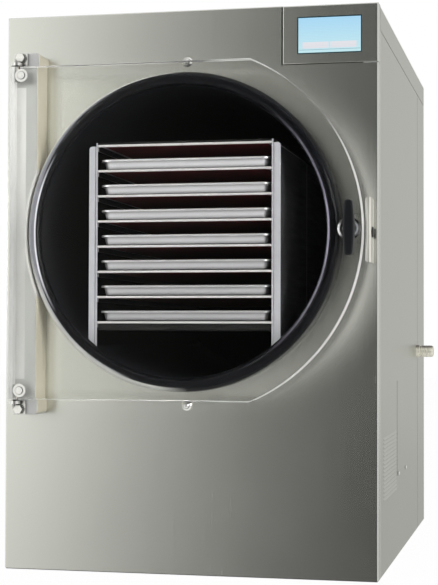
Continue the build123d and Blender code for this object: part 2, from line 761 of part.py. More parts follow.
# ---------------------------------------------------------------- refrigeration unit
def make_compressor():
    """Hermetic compressor: two drawn half shells with a weld seam, on a pressed foot plate."""
    foot = pan_sheet + grommet_height
    r = compressor_radius
    h = compressor_height
    points = [(0, 0), (r * 0.55, 0), (r * 0.86, h * 0.08), (r * 0.96, h * 0.2), (r * 0.96, h * 0.5),
              (r, h * 0.5), (r, h * 0.54), (r * 0.96, h * 0.54), (r * 0.95, h * 0.78), (r * 0.8, h * 0.93),
              (r * 0.45, h), (0, h)]
    shell = turned(points, (compressor_x, compressor_y, foot), (0, 0, 1))
    plate = Pos(compressor_x, compressor_y, foot) * extrude(RectangleRounded(2 * r, 2 * r, 20), amount=4.0)
    box = block((compressor_x - r - 24, compressor_x - r * 0.85), (compressor_y - 30, compressor_y + 30),
                (foot + h * 0.56, foot + h * 0.56 + 60))
    return shell + plate + box


def grommet_places():
    side = compressor_radius - 14.0
    return [(compressor_x + i * side, compressor_y + j * side) for i in (-1, 1) for j in (-1, 1)]


def make_grommets():
    """Four rubber mounts between the foot plate and the base pan."""
    mounts = [rod((x, y, pan_sheet), (0, 0, 1), 22.0, grommet_height) for x, y in grommet_places()]
    return Compound(children=mounts)


def condenser_tube_z(row):
    """Height of one straight tube of the condenser."""
    pitch = (condenser_height - 36.0) / (tube_rows - 1)
    return pan_sheet + 18.0 + row * pitch


def header_underside():
    """Lowest face of the evaporator's headers, under the drum."""
    middle = math.sqrt((coil_radius + coil_height / 2) ** 2 - header_x ** 2)
    return chamber_height - middle - coil_height / 2 + 2 * seat


def make_condenser():
    """Fin-and-tube coil between two end plates."""
    x = (condenser_x, condenser_x + condenser_depth)
    coil = Part()
    for end in (condenser_y[0], condenser_y[1] - 2.0):
        coil += block(x, (end, end + 2.0), condenser_z)
    step = (condenser_length - 20.0) / (fin_count - 1)
    for number in range(fin_count):
        y = condenser_y[0] + 9.5 + number * step
        coil += block((x[0] + 4, x[1] - 4), (y, y + 1.0), (condenser_z[0] + 8, condenser_z[1] - 8))
    middle = (x[0] + x[1]) / 2
    for row in range(tube_rows):
        z = condenser_tube_z(row)
        coil += rod((middle, condenser_y[0] - tube_end, z), (0, 1, 0), line_diameter,
                    condenser_length + 2 * tube_end)
    for row in range(tube_rows - 1):
        y = condenser_y[1] + tube_end if row % 2 == 0 else condenser_y[0] - tube_end
        rise = condenser_tube_z(row + 1) - condenser_tube_z(row)
        coil += rod((middle, y, condenser_tube_z(row)), (0, 0, 1), line_diameter, rise)
    return coil


def make_shroud():
    """Fan shroud with its ring and three arms that carry the motor."""
    box = block((shroud_face, condenser_x), condenser_y, condenser_z)
    hollow = block((shroud_face + shroud_sheet, condenser_x + 1),
                   (condenser_y[0] + shroud_sheet, condenser_y[1] - shroud_sheet),
                   (condenser_z[0] + shroud_sheet, condenser_z[1] - shroud_sheet))
    centre = (shroud_face - 5, condenser_middle_y, fan_height)
    mouth = rod(centre, (1, 0, 0), 2 * (fan_radius + fan_tip_gap), 20)
    arms = Part()
    reach = fan_radius + fan_tip_gap + 12
    for number in range(3):
        arm = block((shroud_face - arm_thickness, shroud_face), (-arm_width / 2, arm_width / 2),
                    (motor_radius + 2, reach))
        arms += Pos(0, condenser_middle_y, fan_height) * Rotation(120 * number, 0, 0) * arm
    ring_start = (shroud_face - arm_thickness, condenser_middle_y, fan_height)
    ring = rod(ring_start, (1, 0, 0), 2 * motor_radius + 8, arm_thickness)
    bore = rod(centre, (1, 0, 0), 2 * (motor_radius + seat), 20)
    return (box - hollow - mouth) + arms + (ring - bore)


def make_fan_motor():
    """Motor can held in the shroud's ring, with its shaft towards the coil."""
    can = turned([(0, 0), (motor_radius - 6, 0), (motor_radius, 6), (motor_radius, motor_length),
                  (0, motor_length)],
                 (shroud_face - motor_length + 4, condenser_middle_y, fan_height), (1, 0, 0))
    start = (shroud_face, condenser_middle_y, fan_height)
    return can + rod(start, (1, 0, 0), fan_shaft_diameter, fan_stand + fan_hub_length - 1)


def make_fan_blades():
    """Pressed fan: twisted blades on a hub that runs on the motor's shaft."""
    start = shroud_face + fan_stand
    middle = start + fan_hub_length / 2
    root = Plane(origin=(middle, 0, fan_hub_radius - 3), x_dir=(0, 1, 0), z_dir=(0, 0, 1))
    tip = Plane(origin=(middle, 8, fan_radius), x_dir=(0, 1, 0), z_dir=(0, 0, 1))
    blade = loft(Sketch() + [root * Rot(0, 0, 35) * Rectangle(30, 2),
                             tip * Rot(0, 0, 14) * Rectangle(76, 2)])
    blade = blade & rod((start - 20, 0, 0), (1, 0, 0), 2 * fan_radius, 60.0)
    fan = rod((start, 0, 0), (1, 0, 0), 2 * fan_hub_radius, fan_hub_length)
    for number in range(fan_blade_count):
        fan += Rotation(360 / fan_blade_count * number, 0, 0) * blade
    bore = rod((start - 1, 0, 0), (1, 0, 0), fan_shaft_diameter + 2 * running_gap, fan_hub_length + 2)
    return Pos(0, condenser_middle_y, fan_height) * (fan - bore)


def make_lines():
    """Brazed copper circuit: discharge, liquid line with its filter drier, and suction line."""
    dome = pan_sheet + grommet_height + compressor_height
    middle_x = condenser_x + condenser_depth / 2
    end_y = condenser_y[0] - tube_end
    high, low = condenser_tube_z(tube_rows - 1), condenser_tube_z(0)
    bend = 12.0
    x = compressor_x + 25.0
    cross_y = compressor_y - compressor_radius - 15.0
    over = high + 34.0
    discharge = tube(((x, compressor_y, dome), (x, compressor_y, over), (x, cross_y, over),
                      (middle_x, cross_y, over), (middle_x, lines_y, over), (middle_x, lines_y, high),
                      (middle_x, end_y, high)), line_diameter, bend)
    drier_low = low + 45.0
    header = header_underside()
    supply = tube(((middle_x, end_y, low), (middle_x, lines_y, low), (-header_x, lines_y, low),
                   (-header_x, lines_y, drier_low)), line_diameter, bend)
    neck = line_diameter / 2 + 1
    swaged = [(0, 0), (neck, 0), (neck, 8), (15, 18), (15, 92), (neck, 102), (neck, 110), (0, 110)]
    drier = turned(swaged, (-header_x, lines_y, drier_low), (0, 0, 1))
    riser = rod((-header_x, lines_y, drier_low + 110), (0, 0, 1), line_diameter, header - drier_low - 110)
    side_z = pan_sheet + grommet_height + compressor_height * 0.76
    shell_x = compressor_x + compressor_radius * 0.96 + seat
    suction = tube(((header_x, compressor_y, header), (header_x, compressor_y, side_z),
                    (shell_x, compressor_y, side_z)), line_diameter, 40.0)
    return discharge + supply + drier + riser + suction


# ---------------------------------------------------------------- electrical pieces
def make_control_box():
    """Folded steel box for the controller, hung from the front cross bar."""
    y = (front_y + control_place, front_y + control_place + control_length)
    z = (inside_top - frame_bar - control_depth, inside_top - frame_bar)
    x = (display_left, display_left + display_width)
    box = block(x, y, z)
    return fillet(box.edges().filter_by(Axis.Z), 4.0)


def make_power_entry():
    """Moulded inlet module: a well with three flat pins beside the rocker's well."""
    middle = (inlet_x + rocker_x) / 2
    rim = Pos(middle, inlet_height) * RectangleRounded(entry_width + 10, entry_height + 8, 4)
    flange = front_plate(rim, back_y, back_y + 3)
    body = block((middle - entry_width / 2 + seat, middle + entry_width / 2 - seat), (back_y - 28, back_y),
                 (inlet_height - entry_height / 2 + seat, inlet_height + entry_height / 2 - seat))
    well = front_plate(Pos(inlet_x, inlet_height) * RectangleRounded(25, 18, 3), back_y - 16, back_y + 4)
    pins = Part()
    for x, z in ((-7, -2), (0, 3), (7, -2)):
        pins += block((inlet_x + x - 1, inlet_x + x + 1), (back_y - 17, back_y - 3),
                      (inlet_height + z - 2.5, inlet_height + z + 2.5))
    side = rocker_width / 2 + 0.5
    pocket = block((rocker_x - side, rocker_x + side), (back_y - 14, back_y + 4),
                   (inlet_height - 12.5, inlet_height + 12.5))
    pivot = rod((rocker_x - side - 1, back_y - 2, inlet_height), (1, 0, 0), rocker_pin, 2 * side + 2)
    return flange + body - well + pins - pocket + pivot


def make_rocker():
    """Rocker paddle on its pivot, resting with its upper half pressed in."""
    half = 11.2
    edge = Polyline((-half, 6.0), (0, 3.6), (half, 6.0), (half - 1.5, -0.5), (3.5, -4.0), (-3.5, -4.0),
                    (-half + 1.5, -0.5), close=True)
    low_x = -rocker_width / 2
    at = Plane(origin=(low_x, 0, 0), x_dir=(0, 0, 1), z_dir=(-1, 0, 0))
    paddle = extrude(at * make_face(edge), amount=-rocker_width)
    paddle -= rod((low_x - 1, 0, 0), (1, 0, 0), rocker_pin + 2 * running_gap, rocker_width + 2)
    return Pos(rocker_x, back_y - 2, inlet_height) * Rotation(rocker_travel / 2, 0, 0) * paddle


def make_pump_socket():
    """Mains socket for the vacuum pump."""
    rim = Pos(socket_x, inlet_height) * RectangleRounded(socket_width + 10, socket_height + 12, 4)
    flange = front_plate(rim, back_y, back_y + 3)
    half_w, half_h = socket_width / 2 - seat, socket_height / 2 - seat
    body = block((socket_x - half_w, socket_x + half_w), (back_y - 30, back_y),
                 (inlet_height - half_h, inlet_height + half_h))
    socket = flange + body
    for x, z, w, h in ((-6.5, 3, 2.2, 8), (6.5, 3, 2.2, 8), (0, -8, 5, 5)):
        socket -= block((socket_x + x - w / 2, socket_x + x + w / 2), (back_y - 14, back_y + 4),
                        (inlet_height + z - h / 2, inlet_height + z + h / 2))
    return socket


# ---------------------------------------------------------------- door
def make_door():
    """Clear acrylic slab: rounded hinge edge, flat top and bottom, round latch side."""
    left = Pos(door_left / 2, 0) * Rectangle(-door_left, 2 * door_half_height)
    right = Pos(door_arc_radius / 2, 0) * Rectangle(door_arc_radius, 2 * door_half_height)
    outline = left + (Circle(door_arc_radius) & right)
    slab = front_plate(Pos(0, chamber_height) * outline, door_front, door_back)
    hinge_edges = slab.edges().filter_by(Axis.Z).group_by(Axis.X)[0]
    slab = fillet(hinge_edges, door_thickness / 2 - 0.01)
    rims = slab.edges().filter_by(Axis.X) + slab.edges().group_by(Axis.X)[-1]
    slab = chamfer(rims, door_chamfer)
    spindle = rod((latch_x, door_front - 1, chamber_height), (0, 1, 0),
                  spindle_diameter + 2 * running_gap, 60)
    for sign in (-1, 1):
        edge = chamber_height + sign * door_half_height
        slab -= rod((hinge_axis_x, hinge_axis_y, edge), (0, 0, -sign), bush_diameter, bush_length)
    return slab - spindle


def make_hinge_strip():
    """Flat wear strip let into the front of the hinge post, flush with it."""
    return block((post_left, post_left + strip_width), (gasket_front, gasket_front + strip_depth),
                 (chamber_height - strip_length / 2, chamber_height + strip_length / 2))


def make_hinge_post():
    """Aluminium bar on the front panel behind the door's hinge side, relieved round the gasket."""
    outline = Pos((post_left + post_right) / 2, chamber_height) * Rectangle(post_width, post_length)
    outline = fillet(outline.vertices().group_by(Axis.X)[-1], post_corner)
    bar = front_plate(outline, gasket_front, front_y)
    right_edges = bar.edges().filter_by(Axis.Z).group_by(Axis.Y)[0].sort_by(Axis.X)[-1:]
    bar = fillet(right_edges, post_edge)
    relief = rod((0, gasket_front - 1, chamber_height), (0, 1, 0),
                 2 * (gasket_radius + post_relief), gasket_reach + 2)
    return bar - relief - make_hinge_strip()


def bracket_z(sign):
    """The two faces of a bracket's arm, above or below the door."""
    near = chamber_height + sign * (door_half_height + arm_gap)
    return sorted((near, near + sign * bracket_thickness))


def make_hinge_brackets():
    """Angle brackets on the post's ends, each with its pivot pin pressed in."""
    brackets = []
    arm_radius = door_thickness / 2 - 1.5
    for sign in (-1, 1):
        arm_z = bracket_z(sign)
        end_z = chamber_height + sign * (post_length / 2 - 1.0)
        foot_z = sorted((arm_z[0] if sign > 0 else arm_z[1], end_z))
        foot_x = (post_left, post_bolt_x + door_washer / 2)
        foot = block(foot_x, (gasket_front - bracket_foot, gasket_front), foot_z)
        outline = Pos(hinge_axis_x, hinge_axis_y) * Circle(arm_radius)
        outline += Pos(hinge_axis_x, (hinge_axis_y + gasket_front) / 2) * Rectangle(
            2 * arm_radius, gasket_front - hinge_axis_y)
        arm = extrude(Pos(0, 0, arm_z[0]) * outline, amount=bracket_thickness)
        outer = chamber_height + sign * (door_half_height + arm_gap + bracket_thickness + 2.0)
        pin_length = arm_gap + bracket_thickness + 2.0 + hinge_pin_reach
        pin = rod((hinge_axis_x, hinge_axis_y, outer), (0, 0, -sign), hinge_pin_diameter, pin_length)
        brackets.append(foot + arm + pin)
    return Compound(children=brackets)


def make_hinge_bushes():
    """Flanged bearing bushes let into the door's top and bottom edges."""
    bushes = []
    bore, body = hinge_pin_diameter / 2 + running_gap, bush_diameter / 2 - running_gap
    for sign in (-1, 1):
        edge = chamber_height + sign * door_half_height
        points = [(bore, 0), (body, 0), (body, bush_length - seat), (bore, bush_length - seat)]
        bushes.append(turned(points, (hinge_axis_x, hinge_axis_y, edge), (0, 0, -sign)))
    return Compound(children=bushes)


def make_door_screws():
    """Round screws with large washers that clamp the bushes in the door's corners."""
    screws = []
    for sign in (-1, 1):
        z = chamber_height + sign * (door_half_height - door_screw_drop)
        washer = rod((door_screw_x, door_front, z), (0, -1, 0), door_washer, 1.5)
        head = pan_head((door_screw_x, door_front - 1.5, z), (0, -1, 0), 14.0, 5.0)
        screws.append(washer + head)
    return Compound(children=screws)


def make_front_bolts():
    """Hexagon bolts through the brackets, and two cup-washered screws on the front panel."""
    cup = [(0, 0), (11, 0), (10, 2), (7, 4.5), (5.5, 4.5), (5.5, 6.5), (3, 8), (0, 8)]
    bolts = []
    for sign in (-1, 1):
        z = chamber_height + sign * (post_length / 2 - post_bolt_inset)
        bolts.append(hex_bolt(post_bolt_x, gasket_front - bracket_foot, z))
        bolts.append(turned(cup, (0, front_y, chamber_height + sign * stud_distance), (0, -1, 0)))
    return Compound(children=bolts)


# ---------------------------------------------------------------- latch
def make_latch_handle():
    """Barrel-shaped grip, standing upright while the latch is released."""
    half, end = handle_width / 2, handle_end_width / 2
    top = handle_length / 2
    shoulder = top - handle_crown
    right = ThreePointArc((end, -shoulder), (half, 0), (end, shoulder))
    upper = ThreePointArc((end, shoulder), (0, top), (-end, shoulder))
    left = ThreePointArc((-end, shoulder), (-half, 0), (-end, -shoulder))
    lower = ThreePointArc((-end, -shoulder), (0, -top), (end, -shoulder))
    outline = make_face(right + upper + left + lower)
    outline = Pos(latch_x, chamber_height) * fillet(outline.vertices(), handle_corner)
    grip = front_plate(outline, handle_back - handle_depth, handle_back)
    grip = fillet(grip.edges().group_by(Axis.Y)[0], handle_corner - 1.0)
    boss_length = handle_reach - hub_thickness - seat
    boss = rod((latch_x, handle_back, chamber_height), (0, 1, 0), spindle_diameter + 8, boss_length)
    return grip + boss


def make_latch_spindle():
    """Steel spindle from the grip through the door to the cam."""
    end = door_back + cam_behind_door + cam_thickness + 4
    start = handle_back + handle_reach - hub_thickness - seat
    return rod((latch_x, start, chamber_height), (0, 1, 0), spindle_diameter, end - start)


def make_latch_hub():
    """Round collar on the door's face that guides the spindle."""
    hub = turned([(spindle_diameter / 2 + running_gap, 0), (hub_diameter / 2, 0),
                  (hub_diameter / 2, hub_thickness - 2), (hub_diameter / 2 - 2, hub_thickness),
                  (spindle_diameter / 2 + running_gap, hub_thickness)],
                 (latch_x, door_front, chamber_height), (0, -1, 0))
    return hub


def make_latch_cam():
    """Cam on the spindle's end, upright while the latch is released."""
    outline = Circle(cam_width / 2) + Pos(0, cam_length / 2) * Rectangle(cam_width, cam_length)
    outline = fillet(outline.vertices().group_by(Axis.Y)[-1], 5.0)
    outline -= Circle(spindle_diameter / 2 + running_gap)
    front = door_back + cam_behind_door
    return front_plate(Pos(latch_x, chamber_height) * outline, front, front + cam_thickness)


def make_keeper():
    """Z-folded strip on the front panel; the cam turns behind its front lip."""
    half = keeper_sheet / 2
    lip_y, foot_y = front_y - keeper_stand + half, front_y - half
    fold = FilletPolyline((keeper_left, lip_y), (keeper_web, lip_y), (keeper_web, foot_y),
                          (keeper_right, foot_y), radius=half + 1.0)
    strip = trace(fold, line_width=keeper_sheet)
    keeper = Pos(0, 0, chamber_height - keeper_length / 2) * extrude(strip, amount=keeper_length)
    ends = keeper.edges().filter_by(Axis.Y).group_by(Axis.X)
    return fillet(ends[0] + ends[-1], keeper_corner)


# ---------------------------------------------------------------- write every piece
pieces = {
    "base_pan": make_base_pan(),
    "cabinet_frame": make_frame(),
    "front_panel": make_front_panel(),
    "screen_panel": make_screen_panel(),
    "touch_screen": make_touch_screen(),
    "top_cover": make_top_cover(),
    "right_side_cover": make_right_side(),
    "left_side_cover": make_left_side(),
    "rear_cover": make_rear_cover(),
    "cover_screws": make_panel_screws(),
    "chamber_drum": make_drum(),
    "door_gasket": make_gasket(),
    "evaporator_coil": make_evaporator(),
    "insulation_jacket": make_jacket(),
    "vacuum_pipe": make_vacuum_pipe(),
    "vacuum_port": make_vacuum_port(),
    "drain_valve": make_drain_valve(),
    "drain_lever": make_drain_lever(),
    "rack_side_right": make_rack_side(),
    "rack_side_left": mirror(make_rack_side(), about=Plane.YZ),
    "heater_mats": make_heater_mats(),
    "rack_foam": make_rack_foam(),
    "compressor": make_compressor(),
    "compressor_mounts": make_grommets(),
    "condenser_coil": make_condenser(),
    "fan_shroud": make_shroud(),
    "fan_motor": make_fan_motor(),
    "fan_blades": make_fan_blades(),
    "refrigerant_lines": make_lines(),
    "control_box": make_control_box(),
    "power_entry": make_power_entry(),
    "power_rocker": make_rocker(),
    "pump_socket": make_pump_socket(),
    "door_plate": make_door(),
    "hinge_post": make_hinge_post(),
    "hinge_strip": make_hinge_strip(),
    "hinge_brackets": make_hinge_brackets(),
    "hinge_bushes": make_hinge_bushes(),
    "door_screws": make_door_screws(),
    "front_bolts": make_front_bolts(),
    "latch_handle": make_latch_handle(),
    "latch_spindle": make_latch_spindle(),
    "latch_hub": make_latch_hub(),
    "latch_cam": make_latch_cam(),
    "keeper": make_keeper(),
}
for number in range(shelf_count):
    pieces[f"shelf_{number + 1}"] = make_shelf(number)
for number in range(1, shelf_count):
    pieces[f"tray_{number}"] = make_tray(number)

for name, shape in pieces.items():
    export_step(shape, f"parts/{name}.step")
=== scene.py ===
"""Finishes and small fittings for the cabinet freeze dryer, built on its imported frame."""
import math

import bmesh
import bpy
from mathutils import Matrix, Vector


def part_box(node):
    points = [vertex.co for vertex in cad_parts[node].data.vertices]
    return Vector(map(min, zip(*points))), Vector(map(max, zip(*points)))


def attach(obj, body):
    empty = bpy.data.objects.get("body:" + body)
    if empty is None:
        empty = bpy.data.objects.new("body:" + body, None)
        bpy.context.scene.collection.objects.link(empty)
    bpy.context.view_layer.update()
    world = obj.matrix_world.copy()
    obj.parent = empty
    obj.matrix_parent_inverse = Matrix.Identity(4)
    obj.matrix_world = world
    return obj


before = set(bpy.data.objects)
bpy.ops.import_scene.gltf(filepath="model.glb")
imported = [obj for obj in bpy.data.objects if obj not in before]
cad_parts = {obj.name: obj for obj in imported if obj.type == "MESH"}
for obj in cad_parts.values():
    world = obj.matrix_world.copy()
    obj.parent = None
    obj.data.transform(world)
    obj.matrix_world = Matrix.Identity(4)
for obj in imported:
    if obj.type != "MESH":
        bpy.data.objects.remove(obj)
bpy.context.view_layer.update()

bl_info = {
    "name": "Freeze Dryer Finishes",
    "version": (1, 0, 0),
    "blender": (4, 5, 0),
    "location": "View3D > Sidebar > Freeze Dryer",
    "description": "Materials, display, fasteners and studio for a cabinet freeze dryer",
    "category": "Object",
}

MM = 0.001
BOX = {name: tuple(Vector(corner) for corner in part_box(name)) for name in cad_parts}
CHAMBER_AXIS = (0.0, 0.0, (BOX["door_gasket"][0].z + BOX["door_gasket"][1].z) / 2)

# Fittings: where they stand on the frame's parts, and their small sizes.
DISPLAY_BORDER = 0.005      # touch screen's housing beyond its window
PICTURE_DEPTH = 0.00015     # picture in front of the glass, and the buttons in front of the picture
PICTURE_EASE = 0.00005      # rounding of the picture's edges
GRID_MM = 0.5               # rows of the display's grid, coarse enough to show
KEEPER_FOOT = 0.0065        # keeper's foot beyond its standing web
KEEPER_SCREW_RISE = 0.0585  # screw above the keeper's lower end
KEEPER_SCREW_HEAD = 0.0035  # height of the screw's head
TRIM_REACH = 0.0195         # trim ring beyond the latch's axis, towards the keeper
TRIM_WIDTH = 0.0042         # trim ring's rim, from its hole to its outer edge
TRIM_DEPTH = 0.0012         # trim ring in front of the door
SEAM_DEPTH = 0.310          # foam's seam behind its front edge
SEAM_FOOT = 0.060           # foam's seam above its lower edge
FOAM_STEP = 0.014           # side foam's top below the foam lid
TAPE_DEPTH = 0.0006         # tape's thickness, a third of it sunk into the foam
TAPE_EASE = 0.0001          # rounding of the tape's edges
TAPE_START = 0.004          # edge tape behind the foam's front edge
TAPE_BREAK = 0.012          # edge tape's end before the seam

# A round screw head: its outline as shares of its radius and height, and its socket, whose mouth and
# flats are shares of the socket's width and whose floor is a share of the head's height.
HEAD_OUTLINE = ((1.0, 0.0), (1.0, 0.55), (0.88, 0.85), (0.68, 1.0))
SOCKET_MOUTH = 0.62
SOCKET_FLATS = 0.58
SOCKET_FLOOR = 0.35


def hex_rgb(text):
    """Linear red, green and blue of an sRGB hex colour."""
    values = [int(text[i:i + 2], 16) / 255 for i in (1, 3, 5)]
    return tuple(v / 12.92 if v <= 0.04045 else ((v + 0.055) / 1.055) ** 2.4 for v in values)


def per_metre(size_mm):
    """Noise scale whose features are about size_mm across."""
    return 1000.0 / size_mm


# ---------------------------------------------------------------- sizes and colours to change
def length(name, description, default):
    """A length property, in metres."""
    return bpy.props.FloatProperty(name=name, description=description, default=default, min=0.0,
                                   unit="LENGTH", subtype="DISTANCE")


def power(name, description, default):
    """A lamp's power property, in watts."""
    return bpy.props.FloatProperty(name=name, description=description, default=default, min=0.0,
                                   unit="POWER")


def colour(name, description, default):
    """A colour property, its default given as sRGB hex."""
    return bpy.props.FloatVectorProperty(name=name, description=description, default=hex_rgb(default),
                                         size=3, min=0.0, max=1.0, subtype="COLOR")


class DryerSizes(bpy.types.PropertyGroup):
    """Sizes of the fittings that are added to the frame."""
    display_frame: length("Display frame", "Width of the dark band round the picture", 0.0022)
    display_button: length("Button height", "Height of the two blank buttons", 0.0125)
    display_gap: length("Button gap", "Half of the gap between the two blank buttons", 0.0015)
    display_margin: length("Button margin", "Picture left free beside and below the buttons", 0.0082)
    keeper_screw: length("Keeper screw", "Diameter of the keeper's screw head", 0.021)
    keeper_socket: length("Keeper socket", "Width of the hexagon socket in the keeper's screw", 0.009)
    trim_ring: length("Trim ring", "Diameter of the ring round the latch's collar", 0.044)
    tape_edge: length("Edge tape", "Height of the foil tape along the foam's edge", 0.0018)
    tape_seam: length("Seam tape", "Width of the foil tape down the foam's seam", 0.010)


class DryerColours(bpy.types.PropertyGroup):
    """Colours of the finishes."""
    front: colour("Front steel", "Brushed stainless of the front", "#D2D3CD")
    cover: colour("Cover steel", "Brushed stainless of the sides, back and top", "#C4C5BE")
    gasket: colour("Gasket", "Moulded rubber of the door seal", "#0B0C10")
    acrylic: colour("Door", "Tint of the clear door", "#F7F7F5")
    picture: colour("Picture", "Background of the display", "#A8DAFA")
    mats: colour("Heater mats", "Silicone of the heater mats", "#6E161D")
    lever: colour("Drain lever", "Dipped vinyl of the drain lever", "#B4241C")


class DryerStudio(bpy.types.PropertyGroup):
    """Camera and lights."""
    key_power: power("Key light", "Power of the left soft light", 55.0)
    fill_power: power("Fill light", "Power of the soft light above", 25.0)
    side_power: power("Side light", "Power of the right soft light", 70.0)
    rim_power: power("Rim light", "Power of the small light on the left", 5.0)
    sky: bpy.props.FloatProperty(name="Room light", description="Strength of the room's even light",
                                 default=0.5, min=0.0)
    lens: bpy.props.FloatProperty(name="Lens", description="Focal length", default=93.467, min=1.0,
                                  unit="CAMERA")


# ---------------------------------------------------------------- making shapes
CREASE_ANGLE = 40.0         # degrees between faces past which an edge stays sharp


def finish_piece(bm, name, material, body):
    """Turn a bmesh into a piece that rides on a body, shaded smooth between creases."""
    bmesh.ops.remove_doubles(bm, verts=bm.verts, dist=1e-6)
    bmesh.ops.recalc_face_normals(bm, faces=bm.faces)
    mesh = bpy.data.meshes.new(name)
    bm.to_mesh(mesh)
    bm.free()
    mesh.shade_smooth()
    mesh.set_sharp_from_angle(angle=math.radians(CREASE_ANGLE))
    piece = bpy.data.objects.new(name, mesh)
    bpy.context.scene.collection.objects.link(piece)
    mesh.materials.append(material)
    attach(piece, body)
    return piece


def add_slab(bm, low, high, bevel):
    """A block between two corners, with its edges eased."""
    low, high = Vector(low), Vector(high)
    made = bmesh.ops.create_cube(bm, size=1.0)["verts"]
    bmesh.ops.scale(bm, verts=made, vec=high - low)
    bmesh.ops.translate(bm, verts=made, vec=(low + high) / 2)
    edges = list({edge for vert in made for edge in vert.link_edges})
    bmesh.ops.bevel(bm, geom=edges, offset=bevel, segments=1, profile=0.5, affect="EDGES", material=-1)


def facing(centre, direction):
    """Matrix that sets a shape made about +Z at a place, turned towards a direction."""
    return Matrix.Translation(centre) @ Vector(direction).to_track_quat("Z", "Y").to_matrix().to_4x4()


def add_turned(bm, profile, centre, direction, steps=32):
    """Spin a profile of (radius, height) points about direction."""
    place = facing(centre, direction)
    verts = [bm.verts.new(place @ Vector((radius, 0.0, height))) for radius, height in profile]
    edges = [bm.edges.new(pair) for pair in zip(verts, verts[1:])]
    bmesh.ops.spin(bm, geom=verts + edges, cent=centre, axis=direction, angle=math.tau, steps=steps,
                   use_merge=True)


def add_sheet(bm, width, height, centre, direction):
    """A flat sheet, set at a place and turned towards a direction."""
    made = bmesh.ops.create_grid(bm, x_segments=1, y_segments=1, size=0.5)["verts"]
    bmesh.ops.scale(bm, verts=made, vec=(width, height, 1.0))
    bmesh.ops.transform(bm, matrix=facing(centre, direction), verts=made)


def add_socket_screw(bm, centre, direction, diameter, height, socket):
    """A low round head with a hexagon socket sunk in its top."""
    centre, outward = Vector(centre), Vector(direction).normalized()
    radius = diameter / 2
    outline = [(share * radius, rise * height) for share, rise in HEAD_OUTLINE]
    add_turned(bm, [*outline, (SOCKET_MOUTH * socket, height)], centre, outward)
    floor = centre + outward * height * SOCKET_FLOOR
    made = bmesh.ops.create_circle(bm, cap_ends=True, segments=6, radius=SOCKET_FLATS * socket,
                                   matrix=facing(floor, outward))
    face = next(iter({face for vert in made["verts"] for face in vert.link_faces}))
    wall = bmesh.ops.extrude_edge_only(bm, edges=list(face.edges))
    top = [item for item in wall["geom"] if isinstance(item, bmesh.types.BMVert)]
    bmesh.ops.translate(bm, verts=top, vec=outward * height * (1.0 - SOCKET_FLOOR))
    flats = [item for item in wall["geom"] if isinstance(item, bmesh.types.BMEdge)
             and all(vert in top for vert in item.verts)]
    mouth = [edge for edge in bm.edges if edge.is_boundary and edge not in flats
             and (sum((vert.co for vert in edge.verts), Vector()) / 2 - centre).length < radius
             and abs((edge.verts[0].co - centre).dot(outward) - height) < 1e-6
             and edge.verts[0] not in top]
    bmesh.ops.bridge_loops(bm, edges=flats + mouth)


# ---------------------------------------------------------------- making materials
def add_node(tree, kind, inputs=(), **settings):
    """Add a shader node, with its settings, and its inputs given as values or sockets."""
    node = tree.nodes.new("ShaderNode" + kind)
    for name, value in settings.items():
        setattr(node, name, value)
    for key, value in dict(inputs).items():
        if isinstance(value, bpy.types.NodeSocket):
            tree.links.new(value, node.inputs[key])
        else:
            node.inputs[key].default_value = value
    return node


def new_material(name):
    """An empty node material and its tree."""
    material = bpy.data.materials.new(name)
    material.use_nodes = True
    material.node_tree.nodes.clear()
    return material, material.node_tree


def noise(tree, size_mm, stretch=(1.0, 1.0, 1.0), detail=3.0):
    """Noise on Object coordinates whose features are size_mm across, longer along stretched axes."""
    coords = add_node(tree, "TexCoord").outputs["Object"]
    scale = [per_metre(size_mm) / value for value in stretch]
    placed = add_node(tree, "Mapping", {"Vector": coords, "Scale": scale})
    return add_node(tree, "TexNoise", {"Vector": placed.outputs[0], "Scale": 1.0,
                                       "Detail": detail}).outputs[0]


def ranged(tree, value, low, high, start=0.3, end=0.7):
    """Spread a noise value over a range."""
    return add_node(tree, "MapRange", {"Value": value, "From Min": start, "From Max": end,
                                       "To Min": low, "To Max": high}).outputs[0]


def blended(tree, factor, first, second):
    """Colour between two, by a factor."""
    return add_node(tree, "Mix", {0: factor, 6: (*first, 1.0), 7: (*second, 1.0)},
                    data_type="RGBA").outputs[2]


def ramp(tree, value, stops):
    """A level that follows (place, level) stops along a value."""
    start, end = stops[0][0], stops[-1][0]
    along = add_node(tree, "MapRange", {"Value": value, "From Min": start, "From Max": end}).outputs[0]
    node = add_node(tree, "ValToRGB", {0: along})
    marks = node.color_ramp.elements
    while len(marks) < len(stops):
        marks.new(0.5)
    for mark, (place, level) in zip(marks, stops):
        mark.position = (place - start) / (end - start)
        mark.color = (level, level, level, 1.0)
    return node.outputs[0]


def shade(rgb, factor):
    """A colour made lighter or darker by a factor."""
    return tuple(min(1.0, value * factor) for value in rgb)


def multiplied(tree, tint, level):
    """A colour made darker by a level."""
    return add_node(tree, "Mix", {0: 1.0, 6: tint, 7: level}, data_type="RGBA",
                    blend_type="MULTIPLY").outputs[2]


def along(tree, axis):
    """Place along "x", "y" or "z", or along "r", straight out from the chamber's axis."""
    place = add_node(tree, "TexCoord").outputs["Object"]
    if axis == "r":
        flat = add_node(tree, "VectorMath", {0: place, 1: (1.0, 0.0, 1.0)}, operation="MULTIPLY")
        return add_node(tree, "VectorMath", {0: flat.outputs[0], 1: CHAMBER_AXIS},
                        operation="DISTANCE").outputs["Value"]
    return add_node(tree, "SeparateXYZ", {0: place}).outputs[axis.upper()]


def facing_part(tree, axis):
    """How far the surface faces along "x", "y" or "z", from -1 to 1."""
    normal = add_node(tree, "TexCoord").outputs["Normal"]
    return add_node(tree, "SeparateXYZ", {0: normal}).outputs[axis.upper()]


